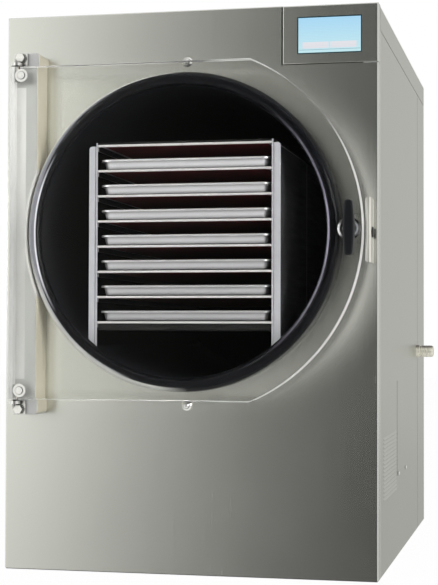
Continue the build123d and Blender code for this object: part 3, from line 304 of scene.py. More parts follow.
def faded(tree, fades):
    """Levels that follow stops along axes, multiplied together; each fade is (axis, stops)."""
    level = 1.0
    for axis, stops in fades:
        level = add_node(tree, "Math", {0: level, 1: ramp(tree, along(tree, axis), stops)},
                         operation="MULTIPLY").outputs[0]
    return level


def within_ring(tree, inner, outer, degrees, stops):
    """1 between two radii from the chamber's axis, times levels that change towards one side of it.

    The side is given in degrees round the axis, from the latch's side and upwards.
    """
    ring = add_node(tree, "Math", {0: along(tree, "r"), 1: (inner + outer) / 2, 2: (outer - inner) / 2},
                    operation="COMPARE").outputs[0]
    place = add_node(tree, "TexCoord").outputs["Object"]
    outward = add_node(tree, "VectorMath", {0: place, 1: CHAMBER_AXIS}, operation="SUBTRACT").outputs[0]
    side = (math.cos(math.radians(degrees)), 0.0, math.sin(math.radians(degrees)))
    across = add_node(tree, "VectorMath", {0: outward, 1: side}, operation="DOT_PRODUCT").outputs["Value"]
    return add_node(tree, "Math", {0: ring, 1: ramp(tree, across, stops)}, operation="MULTIPLY").outputs[0]


def surface(name, rgb, roughness, metallic=0.0, grain_mm=3.0, stretch=(1.0, 1.0, 1.0), tone=0.08,
            spread=0.05, bump=0.1, depth_mm=0.05, cloud_mm=140.0, facet=None, rings=(), crease_mm=0.0,
            fades=(), **fixed):
    """A finish whose colour and roughness vary with fine grain and slow clouding.

    facet, as (axis, start, end, rgb, metallic), gives the faces turned one way another colour, which
    grows from none to full as they turn from start to end.
    rings, each as (inner, outer, degrees, stops, rgb, metallic), do the same round the chamber's axis;
    they carry painted highlights and painted light.
    crease_mm darkens corners and joints within that distance, as painted shade.
    fades, each as (axis, stops), multiply the colour by levels along an axis, as painted light and shade.
    """
    material, tree = new_material(name)
    grain = noise(tree, grain_mm, stretch)
    cloud = noise(tree, cloud_mm, detail=2.0)
    mixed = add_node(tree, "Math", {0: ranged(tree, grain, 0.0, 0.6), 1: ranged(tree, cloud, 0.0, 0.4)},
                     operation="ADD").outputs[0]
    relief = add_node(tree, "Bump", {"Height": grain, "Strength": bump, "Distance": depth_mm * MM})
    inputs = {"Base Color": blended(tree, mixed, shade(rgb, 1.0 - tone), shade(rgb, 1.0 + tone)),
              "Roughness": ranged(tree, mixed, roughness - spread, roughness + spread, 0.0, 1.0),
              "Metallic": metallic, "Normal": relief.outputs[0]}
    zones = [(within_ring(tree, *ring[:4]), *ring[4:]) for ring in rings]
    if facet:
        axis, start, end, *finish = facet
        zones.insert(0, (ranged(tree, facing_part(tree, axis), 0.0, 1.0, start, end), *finish))
    for share, zone_rgb, zone_metallic in zones:
        inputs["Base Color"] = add_node(tree, "Mix", {0: share, 6: inputs["Base Color"],
                                                      7: (*zone_rgb, 1.0)}, data_type="RGBA").outputs[2]
        inputs["Metallic"] = add_node(tree, "Mix", {0: share, 2: inputs["Metallic"],
                                                    3: zone_metallic}, data_type="FLOAT").outputs[0]
    if fades:
        inputs["Base Color"] = multiplied(tree, inputs["Base Color"], faded(tree, fades))
    if crease_mm:
        open_share = add_node(tree, "AmbientOcclusion", {"Distance": crease_mm * MM}).outputs["AO"]
        inputs["Base Color"] = multiplied(tree, inputs["Base Color"],
                                          ranged(tree, open_share, 0.1, 1.0, 0.3, 0.95))
    inputs.update({key.replace("_", " "): value for key, value in fixed.items()})
    shader = add_node(tree, "BsdfPrincipled", inputs)
    add_node(tree, "OutputMaterial", {"Surface": shader.outputs[0]})
    return material


def dress(material, *nodes):
    """Give CAD nodes a finish."""
    for name in nodes:
        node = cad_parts[name]
        if not node.material_slots:
            node.data.materials.append(material)
        for slot in node.material_slots:
            slot.material = material


# The gasket carries painted highlights and painted reflections: a pale painted highlight along its
# crown on the hinge side and along its inner lip on the latch side, and painted grey and pale
# reflections on its outer shoulder towards the hinge side. Each ring is its two radii, the side it
# grows towards in degrees, levels against the distance to that side, its colour and its metallic share.
GASKET_HIGHLIGHT_RINGS = (
    (0.2972, 0.2995, 180, ((0.270, 0.0), (0.288, 0.9)), hex_rgb("#83848D"), 0.0),
    (0.2995, 0.3020, 185, ((0.234, 0.0), (0.264, 0.9)), hex_rgb("#7F8089"), 0.0),
    (0.3020, 0.3045, 190, ((0.165, 0.0), (0.216, 0.9)), hex_rgb("#82838D"), 0.0),
    (0.3045, 0.3150, 190, ((0.060, 0.0), (0.150, 0.6), (0.260, 1.0)), hex_rgb("#96979F"), 0.0),
    (0.3084, 0.3150, 150, ((0.150, 0.0), (0.220, 1.0)), hex_rgb("#CFCFCC"), 0.0),
    (0.3005, 0.3035, 222, ((0.262, 0.0), (0.285, 1.0)), hex_rgb("#A8A8AC"), 0.0),
    (0.3035, 0.3150, 230, ((0.225, 0.0), (0.265, 1.0)), hex_rgb("#BCBCBA"), 0.0),
    (0.2938, 0.2970, 180, ((0.250, 0.0), (0.270, 0.4), (0.287, 1.0)), hex_rgb("#DCDCE6"), 0.0),
    (0.2885, 0.2928, 0, ((0.180, 0.0), (0.220, 0.15), (0.252, 0.3), (0.280, 0.35), (0.291, 0.85)),
     hex_rgb("#B5B1C9"), 0.0))

# The post's rounded cut-out beside the gasket is painted a little paler, as painted light where shade
# falls.
POST_LIGHT_RINGS = ((0.300, 0.3172, 180, ((0.0, 1.0), (0.4, 1.0)), hex_rgb("#C6C6C4"), 0.0),)

# Painted light and shade, as levels along an axis in (metres, level): the strip is painted
# brightest at its upper end, the trays are painted brighter towards the top, the foam has painted
# shade, darkest behind the chamber's rim, and the trim ring has a painted highlight only beside the
# collar.
STRIP_PAINTED_SHADE = (("z", ((0.40, 0.58), (0.52, 0.53), (0.66, 0.52), (0.70, 0.54), (0.765, 0.63),
                      (0.85, 0.67))),)
TRAY_PAINTED_LIGHT = (("z", ((0.48, 0.66), (0.66, 0.86), (0.84, 1.0))),)
FOAM_PAINTED_SHADE = (("y", ((-0.54, 0.12), (-0.46, 0.22), (-0.40, 0.36), (-0.30, 0.55), (-0.20, 0.85),
                     (-0.10, 1.0))),)
TRIM_PAINTED_HIGHLIGHT = (("x", ((0.315, 1.0), (0.320, 0.4), (0.350, 0.25))),
              ("z", ((0.658, 0.12), (0.664, 1.0), (0.679, 1.0), (0.685, 0.12))))

# Stretch along the brushing direction: the grain runs up the front, sides and back.
UPRIGHT = (1.0, 1.0, 60.0)
LENGTHWISE = (1.0, 60.0, 1.0)

# Where the door is frosted: its chamfers by levels along x, its curved side beyond CURVE_START, and
# both by height. Its hinge edge is sanded over SANDED_WIDTH, with painted shade that changes by height.
CHAMFER_SLANT = 0.707       # how far a chamfer faces the front
SLANT_SPREAD = 0.06
EDGE_SLANT = 0.3            # what faces the front less than this is an edge
CHAMFER_FROST = ((-0.325, 0.0), (-0.32, 0.3), (0.04, 0.3), (0.09, 1.0))
CURVE_START = 0.15
EDGE_FROST = ((0.80, 0.75), (0.84, 0.65), (0.89, 0.25), (0.96, 0.25), (0.985, 0.75))
SANDED_WIDTH = 0.012
HINGE_PAINTED_SHADE = ((0.40, 0.78), (0.45, 0.74), (0.53, 0.73), (0.66, 0.69), (0.72, 0.78), (0.79, 0.86),
               (0.86, 0.92), (0.93, 0.95))


def frosted_share(tree):
    """How frosted the door's chamfers and curved side are."""
    slant = add_node(tree, "Math", {0: facing_part(tree, "y")}, operation="ABSOLUTE").outputs[0]
    chamfer = add_node(tree, "Math", {0: slant, 1: CHAMFER_SLANT, 2: SLANT_SPREAD},
                       operation="COMPARE").outputs[0]
    chamfers = add_node(tree, "Math", {0: chamfer, 1: ramp(tree, along(tree, "x"), CHAMFER_FROST)},
                        operation="MULTIPLY").outputs[0]
    edge = add_node(tree, "Math", {0: slant, 1: EDGE_SLANT}, operation="LESS_THAN").outputs[0]
    curved = add_node(tree, "Math", {0: along(tree, "x"), 1: CURVE_START},
                      operation="GREATER_THAN").outputs[0]
    sides = add_node(tree, "Math", {0: edge, 1: curved}, operation="MULTIPLY").outputs[0]
    share = add_node(tree, "Math", {0: chamfers, 1: sides}, operation="MAXIMUM").outputs[0]
    return add_node(tree, "Math", {0: share, 1: ramp(tree, along(tree, "z"), EDGE_FROST)},
                    operation="MULTIPLY").outputs[0]


def sanded_acrylic(tree, rgb, hinged):
    """Frosted acrylic, half seen through and half matt, with painted shade by height on the hinge edge."""
    elsewhere = add_node(tree, "Math", {0: 1.0, 1: hinged}, operation="SUBTRACT").outputs[0]
    level = add_node(tree, "Math", {0: ramp(tree, along(tree, "z"), HINGE_PAINTED_SHADE), 1: elsewhere},
                     operation="MAXIMUM").outputs[0]
    tint = multiplied(tree, (*shade(rgb, 0.95), 1.0), level)
    through = add_node(tree, "BsdfTranslucent", {"Color": tint})
    matt = add_node(tree, "BsdfDiffuse", {"Color": tint})
    return add_node(tree, "MixShader", {0: 0.5, 1: through.outputs[0], 2: matt.outputs[0]})


def clear_acrylic(name, rgb):
    """Cast acrylic sheet with polished faces; its chamfers, curved side and hinge edge are frosted."""
    material, tree = new_material(name)
    smear = noise(tree, 60.0, detail=2.0)
    polished = add_node(tree, "BsdfPrincipled", {
        "Base Color": blended(tree, ranged(tree, smear, 0.0, 1.0), shade(rgb, 0.99), rgb),
        "Roughness": ranged(tree, smear, 0.0, 0.02), "IOR": 1.49, "Transmission Weight": 1.0,
        "Specular Tint": (0.12, 0.12, 0.12, 1.0)})
    # Light passes the sheet without a shadow, so the front behind it stays evenly lit.
    in_shadow = add_node(tree, "LightPath").outputs["Is Shadow Ray"]
    passing = add_node(tree, "BsdfTransparent", {"Color": (*shade(rgb, 0.97), 1.0)})
    sheet = add_node(tree, "MixShader", {0: in_shadow, 1: polished.outputs[0], 2: passing.outputs[0]})
    hinged = add_node(tree, "Math", {0: along(tree, "x"), 1: BOX["door_plate"][0].x + SANDED_WIDTH},
                      operation="LESS_THAN").outputs[0]
    seen = add_node(tree, "Math", {0: 1.0, 1: in_shadow}, operation="SUBTRACT").outputs[0]
    sanded = add_node(tree, "Math", {0: hinged, 1: seen}, operation="MULTIPLY").outputs[0]
    share = add_node(tree, "Math", {0: frosted_share(tree), 1: sanded}, operation="MAXIMUM").outputs[0]
    frosted = sanded_acrylic(tree, rgb, hinged)
    whole = add_node(tree, "MixShader", {0: share, 1: sheet.outputs[0], 2: frosted.outputs[0]})
    add_node(tree, "OutputMaterial", {"Surface": whole.outputs[0]})
    return material


def lit_picture(name, rgb, low_rgb, strength):
    """Lit liquid crystal picture: a soft change of colour with height, with a fine grid."""
    material, tree = new_material(name)
    coords = add_node(tree, "TexCoord").outputs["Object"]
    grid = add_node(tree, "TexWave", {"Vector": coords, "Scale": per_metre(GRID_MM) / 20.0,
                                      "Distortion": 0.0}, bands_direction="Z").outputs["Fac"]
    low, high = BOX["touch_screen"]
    blend = blended(tree, ranged(tree, along(tree, "z"), 0.0, 1.0, low.z, high.z), low_rgb, rgb)
    glow = multiplied(tree, blend, ranged(tree, grid, 0.96, 1.0, 0.0, 1.0))
    shader = add_node(tree, "BsdfPrincipled", {
        "Base Color": (0.01, 0.012, 0.014, 1.0), "Roughness": 0.25, "Emission Color": glow,
        "Emission Strength": strength})
    add_node(tree, "OutputMaterial", {"Surface": shader.outputs[0]})
    return material


# ---------------------------------------------------------------- operators
class DRYER_OT_covers(bpy.types.Operator):
    """Brushed stainless covers, painted frame and base pan"""
    bl_idname = "dryer.covers"
    bl_label = "Finish the Covers"

    def execute(self, context):
        colours = context.scene.dryer_colours
        # 304 stainless sheet, belt brushed upwards: soft streaks a few millimetres wide.
        front = surface("brushed_stainless_front", colours.front, 0.26, metallic=1.0, grain_mm=2.5,
                        stretch=UPRIGHT, tone=0.015, spread=0.015, bump=0.006, depth_mm=0.02)
        # The covers are brushed the same way, from a slightly darker batch.
        cover = surface("brushed_stainless_cover", colours.cover, 0.36, metallic=1.0, grain_mm=2.5,
                        stretch=UPRIGHT, tone=0.015, spread=0.02, bump=0.015, depth_mm=0.02)
        top = surface("brushed_stainless_top", colours.cover, 0.36, metallic=1.0, grain_mm=2.5,
                      stretch=LENGTHWISE, tone=0.015, spread=0.02, bump=0.015, depth_mm=0.02)
        # Powder coat: slightly pebbled dark grey.
        coat = surface("powder_coat_grey", hex_rgb("#2C2E30"), 0.55, grain_mm=1.5, tone=0.1, bump=0.3,
                       depth_mm=0.08)
        dress(front, "front_panel", "screen_panel")
        dress(top, "top_cover")
        dress(cover, "right_side_cover", "left_side_cover", "rear_cover")
        dress(coat, "base_pan")
        # Galvanised section behind the cover joints: light grey, spangled.
        dress(surface("galvanised_frame", hex_rgb("#C9CBCC"), 0.5, metallic=0.3, grain_mm=9.0, tone=0.08,
                      bump=0.08), "cabinet_frame")
        return {"FINISHED"}


class DRYER_OT_chamber(bpy.types.Operator):
    """Drum, gasket, evaporator, jacket and drain"""
    bl_idname = "dryer.chamber"
    bl_label = "Finish the Chamber"

    def execute(self, context):
        colours = context.scene.dryer_colours
        # The drum: near black, almost without sheen.
        dress(surface("near_black_drum", hex_rgb("#15161A"), 0.6, grain_mm=4.0, tone=0.15, bump=0.15,
                      depth_mm=0.05, Specular_IOR_Level=0.15), "chamber_drum")
        # EPDM rubber, compression moulded: blue-black and glossy, with painted highlights and reflections
        # on its crown, inner lip and outer shoulder.
        dress(surface("moulded_epdm_rubber", colours.gasket, 0.26, grain_mm=2.0, tone=0.12, spread=0.03,
                      bump=0.05, depth_mm=0.02, rings=GASKET_HIGHLIGHT_RINGS, Specular_IOR_Level=0.12),
              "door_gasket")
        # Soft-drawn copper tube, dulled by brazing.
        dress(surface("drawn_copper", hex_rgb("#B87A5A"), 0.35, metallic=1.0, grain_mm=6.0, tone=0.15,
                      bump=0.1), "evaporator_coil", "refrigerant_lines")
        # Closed-cell elastomer foam: matt black with small cells.
        dress(surface("closed_cell_foam", hex_rgb("#1A1B1C"), 0.85, grain_mm=2.5, tone=0.35, bump=0.6,
                      depth_mm=0.3), "insulation_jacket")
        # The rack's foam sheet has faint drawn bands; its side towards the latch is painted pale grey, as
        # painted light, and darkened towards the front, as painted shade behind the chamber's rim; its
        # other faces are foam black.
        dress(surface("foam_sheet_painted_light", hex_rgb("#C6C7D0"), 0.7, grain_mm=12.0,
                      stretch=(1.0, 14.0, 1.0), tone=0.35, bump=0.2, depth_mm=0.3,
                      facet=("x", 0.9, 0.4, hex_rgb("#1A1B1C"), 0.0), fades=FOAM_PAINTED_SHADE), "rack_foam")
        # Turned stainless: bright, with fine rings from the lathe; its upward faces are painted dark, as a
        # painted reflection.
        dress(surface("turned_stainless", hex_rgb("#DEDCCD"), 0.28, metallic=0.35, grain_mm=1.2,
                      stretch=(1.0, 12.0, 12.0), tone=0.05, bump=0.15,
                      facet=("z", 0.35, 0.75, hex_rgb("#66615C"), 0.3)), "vacuum_port", "vacuum_pipe")
        # Turned brass body, lightly tarnished.
        dress(surface("turned_brass", hex_rgb("#B59A55"), 0.3, metallic=1.0, grain_mm=2.0, tone=0.1,
                      bump=0.15), "drain_valve")
        # Vinyl-dipped lever: glossy red with a soft edge.
        dress(surface("dipped_vinyl_red", colours.lever, 0.35, grain_mm=8.0, tone=0.08, bump=0.1),
              "drain_lever")
        return {"FINISHED"}


class DRYER_OT_rack(bpy.types.Operator):
    """Rack sides, shelves, heater mats and trays"""
    bl_idname = "dryer.rack"
    bl_label = "Finish the Rack and Trays"

    def execute(self, context):
        colours = context.scene.dryer_colours
        # 2B finish stainless sheet: pale, even, slightly cloudy; faces turned towards the latch side are
        #                            painted near black, as painted shade.
        mill = surface("mill_finish_stainless", hex_rgb("#D4D2D4"), 0.45, metallic=0.45, grain_mm=3.0,
                       tone=0.03, spread=0.03, bump=0.04, depth_mm=0.02, cloud_mm=60.0,
                       facet=("x", 0.4, 0.9, hex_rgb("#08080A"), 0.0))
        # Deep-drawn stainless, bright annealed: even satin walls, pale from every side, with painted shade
        # in corners and under the rims and painted lighter towards the top.
        drawn = surface("drawn_stainless", hex_rgb("#E0E0E5"), 0.36, metallic=0.65, grain_mm=2.0,
                        stretch=(1.0, 1.0, 8.0), tone=0.02, spread=0.03, bump=0.03, depth_mm=0.02,
                        cloud_mm=60.0, crease_mm=9.0, fades=TRAY_PAINTED_LIGHT)
        # Silicone rubber, calendered: deep maroon, faint fabric print.
        mats = surface("calendered_silicone", colours.mats, 0.5, grain_mm=1.5, tone=0.2, bump=0.3)
        # The side sheets are painted near black inside the rack, as painted shade, with pale satin front
        # edges.
        sides = surface("side_sheet_painted_shade", hex_rgb("#0E0E10"), 0.6, metallic=1.0, grain_mm=3.0,
                        tone=0.05, spread=0.03, bump=0.04, depth_mm=0.02, cloud_mm=60.0,
                        facet=("y", -0.4, -0.8, hex_rgb("#B9BAC1"), 0.3))
        dress(sides, "rack_side_right", "rack_side_left")
        dress(mill, *[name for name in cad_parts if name.startswith("shelf_")])
        dress(drawn, *[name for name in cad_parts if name.startswith("tray_")])
        dress(mats, "heater_mats")
        self.add_foam_tape(context.scene.dryer_sizes)
        return {"FINISHED"}

    def add_foam_tape(self, sizes):
        """Foil tape along the foam's upper edge and down its seam, on the latch side."""
        # Aluminium foil tape: pale and slightly crinkled.
        tape = surface("crinkled_foil_tape", hex_rgb("#D9DAE0"), 0.4, metallic=0.2, grain_mm=4.0, tone=0.1,
                       bump=0.3, depth_mm=0.1)
        low, high = BOX["rack_foam"]
        inner = high.x - TAPE_DEPTH / 3
        outer = inner + TAPE_DEPTH
        seam = low.y + SEAM_DEPTH
        top = high.z - FOAM_STEP
        bm = bmesh.new()
        add_slab(bm, (inner, low.y + TAPE_START, top - sizes.tape_edge), (outer, seam - TAPE_BREAK, top),
                 TAPE_EASE)
        add_slab(bm, (inner, seam, low.z + SEAM_FOOT),
                 (outer, seam + sizes.tape_seam, top - 2 * sizes.tape_edge), TAPE_EASE)
        finish_piece(bm, "foam_tape", tape, "cabinet")


class DRYER_OT_door(bpy.types.Operator):
    """Clear door with its post, brackets, bushes and screws"""
    bl_idname = "dryer.door"
    bl_label = "Finish the Door and Hinges"

    def execute(self, context):
        colours = context.scene.dryer_colours
        # Cast acrylic, polished: clear, with pale sawn edges.
        dress(clear_acrylic("polished_cast_acrylic", colours.acrylic), "door_plate")
        # Extruded aluminium, satin anodised: silvery, drawn lengthwise. Its side towards the latch is
        # painted pale beige and not metallic, as painted light, and its cut-out by the gasket is painted
        # paler, as painted light.
        dress(surface("satin_anodised_aluminium", hex_rgb("#AFB0AF"), 0.4, metallic=0.4, grain_mm=1.5,
                      stretch=UPRIGHT, tone=0.03, bump=0.06,
                      facet=("x", 0.4, 0.9, hex_rgb("#C8C2B0"), 0.0), rings=POST_LIGHT_RINGS),
              "hinge_post", "hinge_bushes")
        # Bright anodised strip, paler than the post, with painted shade that changes with height.
        dress(surface("bright_anodised_strip", hex_rgb("#F8F8F8"), 0.34, metallic=0.3, grain_mm=1.5,
                      stretch=UPRIGHT, tone=0.02, bump=0.05, fades=STRIP_PAINTED_SHADE), "hinge_strip")
        # Passivated stainless fasteners: bright with worn edges, and painted shade in corners and joints.
        dress(surface("stainless_hardware", hex_rgb("#DCDCD8"), 0.18, metallic=0.8, grain_mm=3.0,
                      tone=0.04, spread=0.03, bump=0.06, depth_mm=0.02, cloud_mm=30.0, crease_mm=12.0),
              "hinge_brackets", "door_screws", "front_bolts", "cover_screws")
        return {"FINISHED"}


class DRYER_OT_latch(bpy.types.Operator):
    """Latch grip, spindle, collar, cam and keeper with its screws"""
    bl_idname = "dryer.latch"
    bl_label = "Finish the Latch"

    def execute(self, context):
        sizes = context.scene.dryer_sizes
        # Glass-filled nylon, moulded: charcoal, faintly grained.
        dress(surface("moulded_nylon_grip", hex_rgb("#0B0D10"), 0.45, grain_mm=1.5, tone=0.15, bump=0.35,
                      depth_mm=0.08, Specular_IOR_Level=0.25), "latch_handle")
        # Machined stainless bar: bright, with very fine tool marks.
        dress(surface("machined_stainless", hex_rgb("#D6D6D2"), 0.3, metallic=1.0, grain_mm=1.2, tone=0.03,
                      spread=0.02, bump=0.04, depth_mm=0.01, cloud_mm=60.0), "latch_spindle", "latch_cam")
        # Electropolished stainless strip: mirrors the panel; its bends and faces turned towards the side
        # cover are painted pale and less metallic, as painted highlights.
        dress(surface("electropolished_stainless", hex_rgb("#DEDED8"), 0.2, metallic=1.0, grain_mm=1.2,
                      tone=0.03, spread=0.02, bump=0.04, depth_mm=0.01, cloud_mm=60.0,
                      facet=("x", 0.5, 0.95, hex_rgb("#CFCDC2"), 0.2)), "keeper")
        # Die-cast collar, tumbled bright.
        dress(surface("tumbled_die_casting", hex_rgb("#8E9093"), 0.32, metallic=0.6, grain_mm=1.5, tone=0.1,
                      bump=0.2), "latch_hub")
        self.add_keeper_screw(sizes)
        self.add_trim_ring(sizes)
        return {"FINISHED"}

    def add_keeper_screw(self, sizes):
        """Socket screw that holds the keeper's web."""
        # Black-oxide screw, rubbed bright at its rim.
        oxide = surface("black_oxide_screw", hex_rgb("#3C3C3A"), 0.35, metallic=0.8, grain_mm=2.0, tone=0.2,
                        bump=0.1, depth_mm=0.02)
        low, high = BOX["keeper"]
        centre = (high.x - KEEPER_FOOT, (low.y + high.y) / 2, low.z + KEEPER_SCREW_RISE)
        bm = bmesh.new()
        add_socket_screw(bm, centre, (1, 0, 0), sizes.keeper_screw, KEEPER_SCREW_HEAD, sizes.keeper_socket)
        finish_piece(bm, "keeper_screw", oxide, "cabinet")

    def add_trim_ring(self, sizes):
        """Pressed trim ring on the door, set round the collar and towards the chamber."""
        # Bright nickel over brass, clouded at random, with a painted highlight beside the collar and
        # painted shade on the side towards the keeper, above and below.
        nickel = surface("clouded_nickel_painted_highlight", hex_rgb("#F2F2F4"), 0.25, metallic=0.5, grain_mm=5.0, tone=0.25,
                         bump=0.1, depth_mm=0.03, cloud_mm=12.0, fades=TRIM_PAINTED_HIGHLIGHT)
        outer = sizes.trim_ring / 2
        inner = outer - TRIM_WIDTH
        low, high = BOX["latch_hub"]
        centre = (low + high) / 2
        centre.x -= outer - TRIM_REACH
        centre.y = BOX["door_plate"][0].y
        eased = outer - TRIM_DEPTH
        section = [(inner, 0.0), (outer, 0.0), (outer, TRIM_DEPTH * 0.6), (eased, TRIM_DEPTH),
                   (inner, TRIM_DEPTH), (inner, 0.0)]
        bm = bmesh.new()
        add_turned(bm, section, centre, (0, -1, 0), steps=48)
        finish_piece(bm, "latch_trim_ring", nickel, "door")


class DRYER_OT_display(bpy.types.Operator):
    """Lit picture with two blank buttons, inside the dark glass of the touch screen"""
    bl_idname = "dryer.display"
    bl_label = "Make the Display"

    def execute(self, context):
        sizes = context.scene.dryer_sizes
        colours = context.scene.dryer_colours
        # Chemically strengthened glass, black printed behind: glossy teal-black border.
        dress(surface("printed_cover_glass", hex_rgb("#12363F"), 0.12, grain_mm=30.0, tone=0.1, bump=0.02,
                      Coat_Weight=0.4), "touch_screen")
        # Backlit liquid crystal: an even glow, a little paler towards the bottom.
        picture = lit_picture("lit_picture_blue", colours.picture, hex_rgb("#CBEFF2"), 0.95)
        button = lit_picture("lit_button_pale", hex_rgb("#F8F2F6"), hex_rgb("#DFE1E9"), 0.95)
        rule = lit_picture("lit_rule_teal", hex_rgb("#5E9AB0"), hex_rgb("#7FA9B4"), 0.9)
        low, high = BOX["touch_screen"]
        edge = sizes.display_frame + DISPLAY_BORDER
        left, right = low.x + edge, high.x - sizes.display_frame - DISPLAY_BORDER / 2
        base, top = low.z + edge, high.z - edge
        middle = (left + right) / 2
        gap, margin = sizes.display_gap, sizes.display_margin
        foot = base + margin
        line = foot - 2 * gap
        glass, lit = low.y, low.y - PICTURE_DEPTH
        raised = lit - PICTURE_DEPTH
        bm = bmesh.new()
        add_slab(bm, (left, lit, base), (right, glass, top), PICTURE_EASE)
        finish_piece(bm, "display_picture", picture, "cabinet")
        bm = bmesh.new()
        for start, end in ((left + margin, middle - gap), (middle + gap, right - margin)):
            add_slab(bm, (start, raised, foot), (end, lit, foot + sizes.display_button), PICTURE_EASE)
        finish_piece(bm, "display_buttons", button, "cabinet")
        bm = bmesh.new()
        add_slab(bm, (left + gap, raised, line), (right - gap, lit, line + gap / 2), PICTURE_EASE)
        finish_piece(bm, "display_rule", rule, "cabinet")
        return {"FINISHED"}


class DRYER_OT_cooling(bpy.types.Operator):
    """Compressor, condenser, fan and their fittings"""
    bl_idname = "dryer.cooling"
    bl_label = "Finish the Cooling Unit"

    def execute(self, context):
        # Black enamel sprayed over drawn steel, glossy.
        dress(surface("gloss_enamel_black", hex_rgb("#0D0D0E"), 0.22, grain_mm=6.0, tone=0.15, bump=0.08),
              "compressor")
        # Natural rubber, moulded: dull black.
        dress(surface("moulded_mount_rubber", hex_rgb("#161616"), 0.7, grain_mm=2.0, tone=0.2, bump=0.3),
              "compressor_mounts")
        # Stamped aluminium fins, mill bright.
        dress(surface("stamped_aluminium_fins", hex_rgb("#C9CBCD"), 0.4, metallic=1.0, grain_mm=3.0,
                      stretch=(1.0, 1.0, 10.0), tone=0.08, bump=0.15), "condenser_coil")
        # Bright zinc plate: cool grey with a faint spangle.
        dress(surface("zinc_plated_steel", hex_rgb("#AEB1B4"), 0.42, metallic=1.0, grain_mm=9.0, tone=0.12,
                      bump=0.1), "fan_shroud", "control_box")
        # Satin enamel: dark grey, smooth.
        dress(surface("satin_enamel_grey", hex_rgb("#2A2B2D"), 0.42, grain_mm=2.5, tone=0.12, bump=0.15),
              "fan_motor")
        # Pressed aluminium sheet: bright, slightly cloudy.
        dress(surface("pressed_aluminium", hex_rgb("#C2C4C6"), 0.36, metallic=1.0, grain_mm=3.0, tone=0.08,
                      bump=0.1), "fan_blades")
        return {"FINISHED"}


class DRYER_OT_electrics(bpy.types.Operator):
    """Power inlet, rocker switch and pump socket"""
    bl_idname = "dryer.electrics"
    bl_label = "Finish the Electrical Fittings"

    def execute(self, context):
        # Thermoplastic polyester, moulded: matt black, finely grained.
        dress(surface("moulded_polyester_black", hex_rgb("#151617"), 0.5, grain_mm=1.2, tone=0.15,
                      bump=0.3), "power_entry", "pump_socket")
        # The rocker is polished nylon: glossy black.
        dress(surface("gloss_rocker_black", hex_rgb("#1C1D1F"), 0.18, grain_mm=6.0, tone=0.1, bump=0.05),
              "power_rocker")
        return {"FINISHED"}


# Reflector cards: levels along x and by height, as (metres, level).
FRONT_CARD = (("x", ((-2.9, 1.75), (-2.1, 1.47), (-1.6, 0.69), (-1.1, 0.34), (-0.6, 0.14), (-0.15, 0.068),
                     (0.6, 0.035), (1.6, 0.05), (3.0, 0.5))),
              ("z", ((-2.5, 0.62), (-0.6, 0.68), (0.0, 0.9), (1.0, 0.96), (1.7, 0.9), (2.4, 0.92))))
SIDE_CARD = (("x", ((0.5, 0.64), (11.5, 0.64))), ("z", ((-0.6, 0.80), (-0.1, 1.0))))

# Light that the door's curved edge throws on the front, round the chamber's axis.
EDGE_GLOW = (("r", ((0.360, 0.5), (0.368, 0.38), (0.380, 0.22), (0.395, 0.12), (0.410, 0.04),
                    (0.425, 0.0))),
             ("x", ((0.15, 0.0), (0.26, 0.45), (0.33, 1.0))),
             ("z", ((0.30, 0.6), (0.50, 1.0), (0.75, 1.0), (0.93, 0.45))))
EDGE_GLOW_TURN = 140.0      # degrees round the latch's side
EDGE_GLOW_Y = -0.575

# Light that the hinge post's pale side throws beside it.
POST_GLOW = (("x", ((-0.300, 0.34), (-0.282, 0.28), (-0.268, 0.1), (-0.258, 0.0))),
             ("z", ((0.32, 0.0), (0.36, 1.0), (0.98, 1.0), (1.03, 0.0))))
POST_GLOW_SIZE = (0.08, 0.72)
POST_GLOW_PLACE = (-0.26, -0.536, CHAMBER_AXIS[2])

CARD_WHITE = (*hex_rgb("#FFFFFB"), 1.0)
FLOOR_SIZE = 28.0
CAMERA_PLACE = (0.7103, -3.4357, 0.4704)
CAMERA_TURN, CAMERA_RISE, CAMERA_ROLL = 12.488, 1.644, 0.173
SENSOR = 36.0


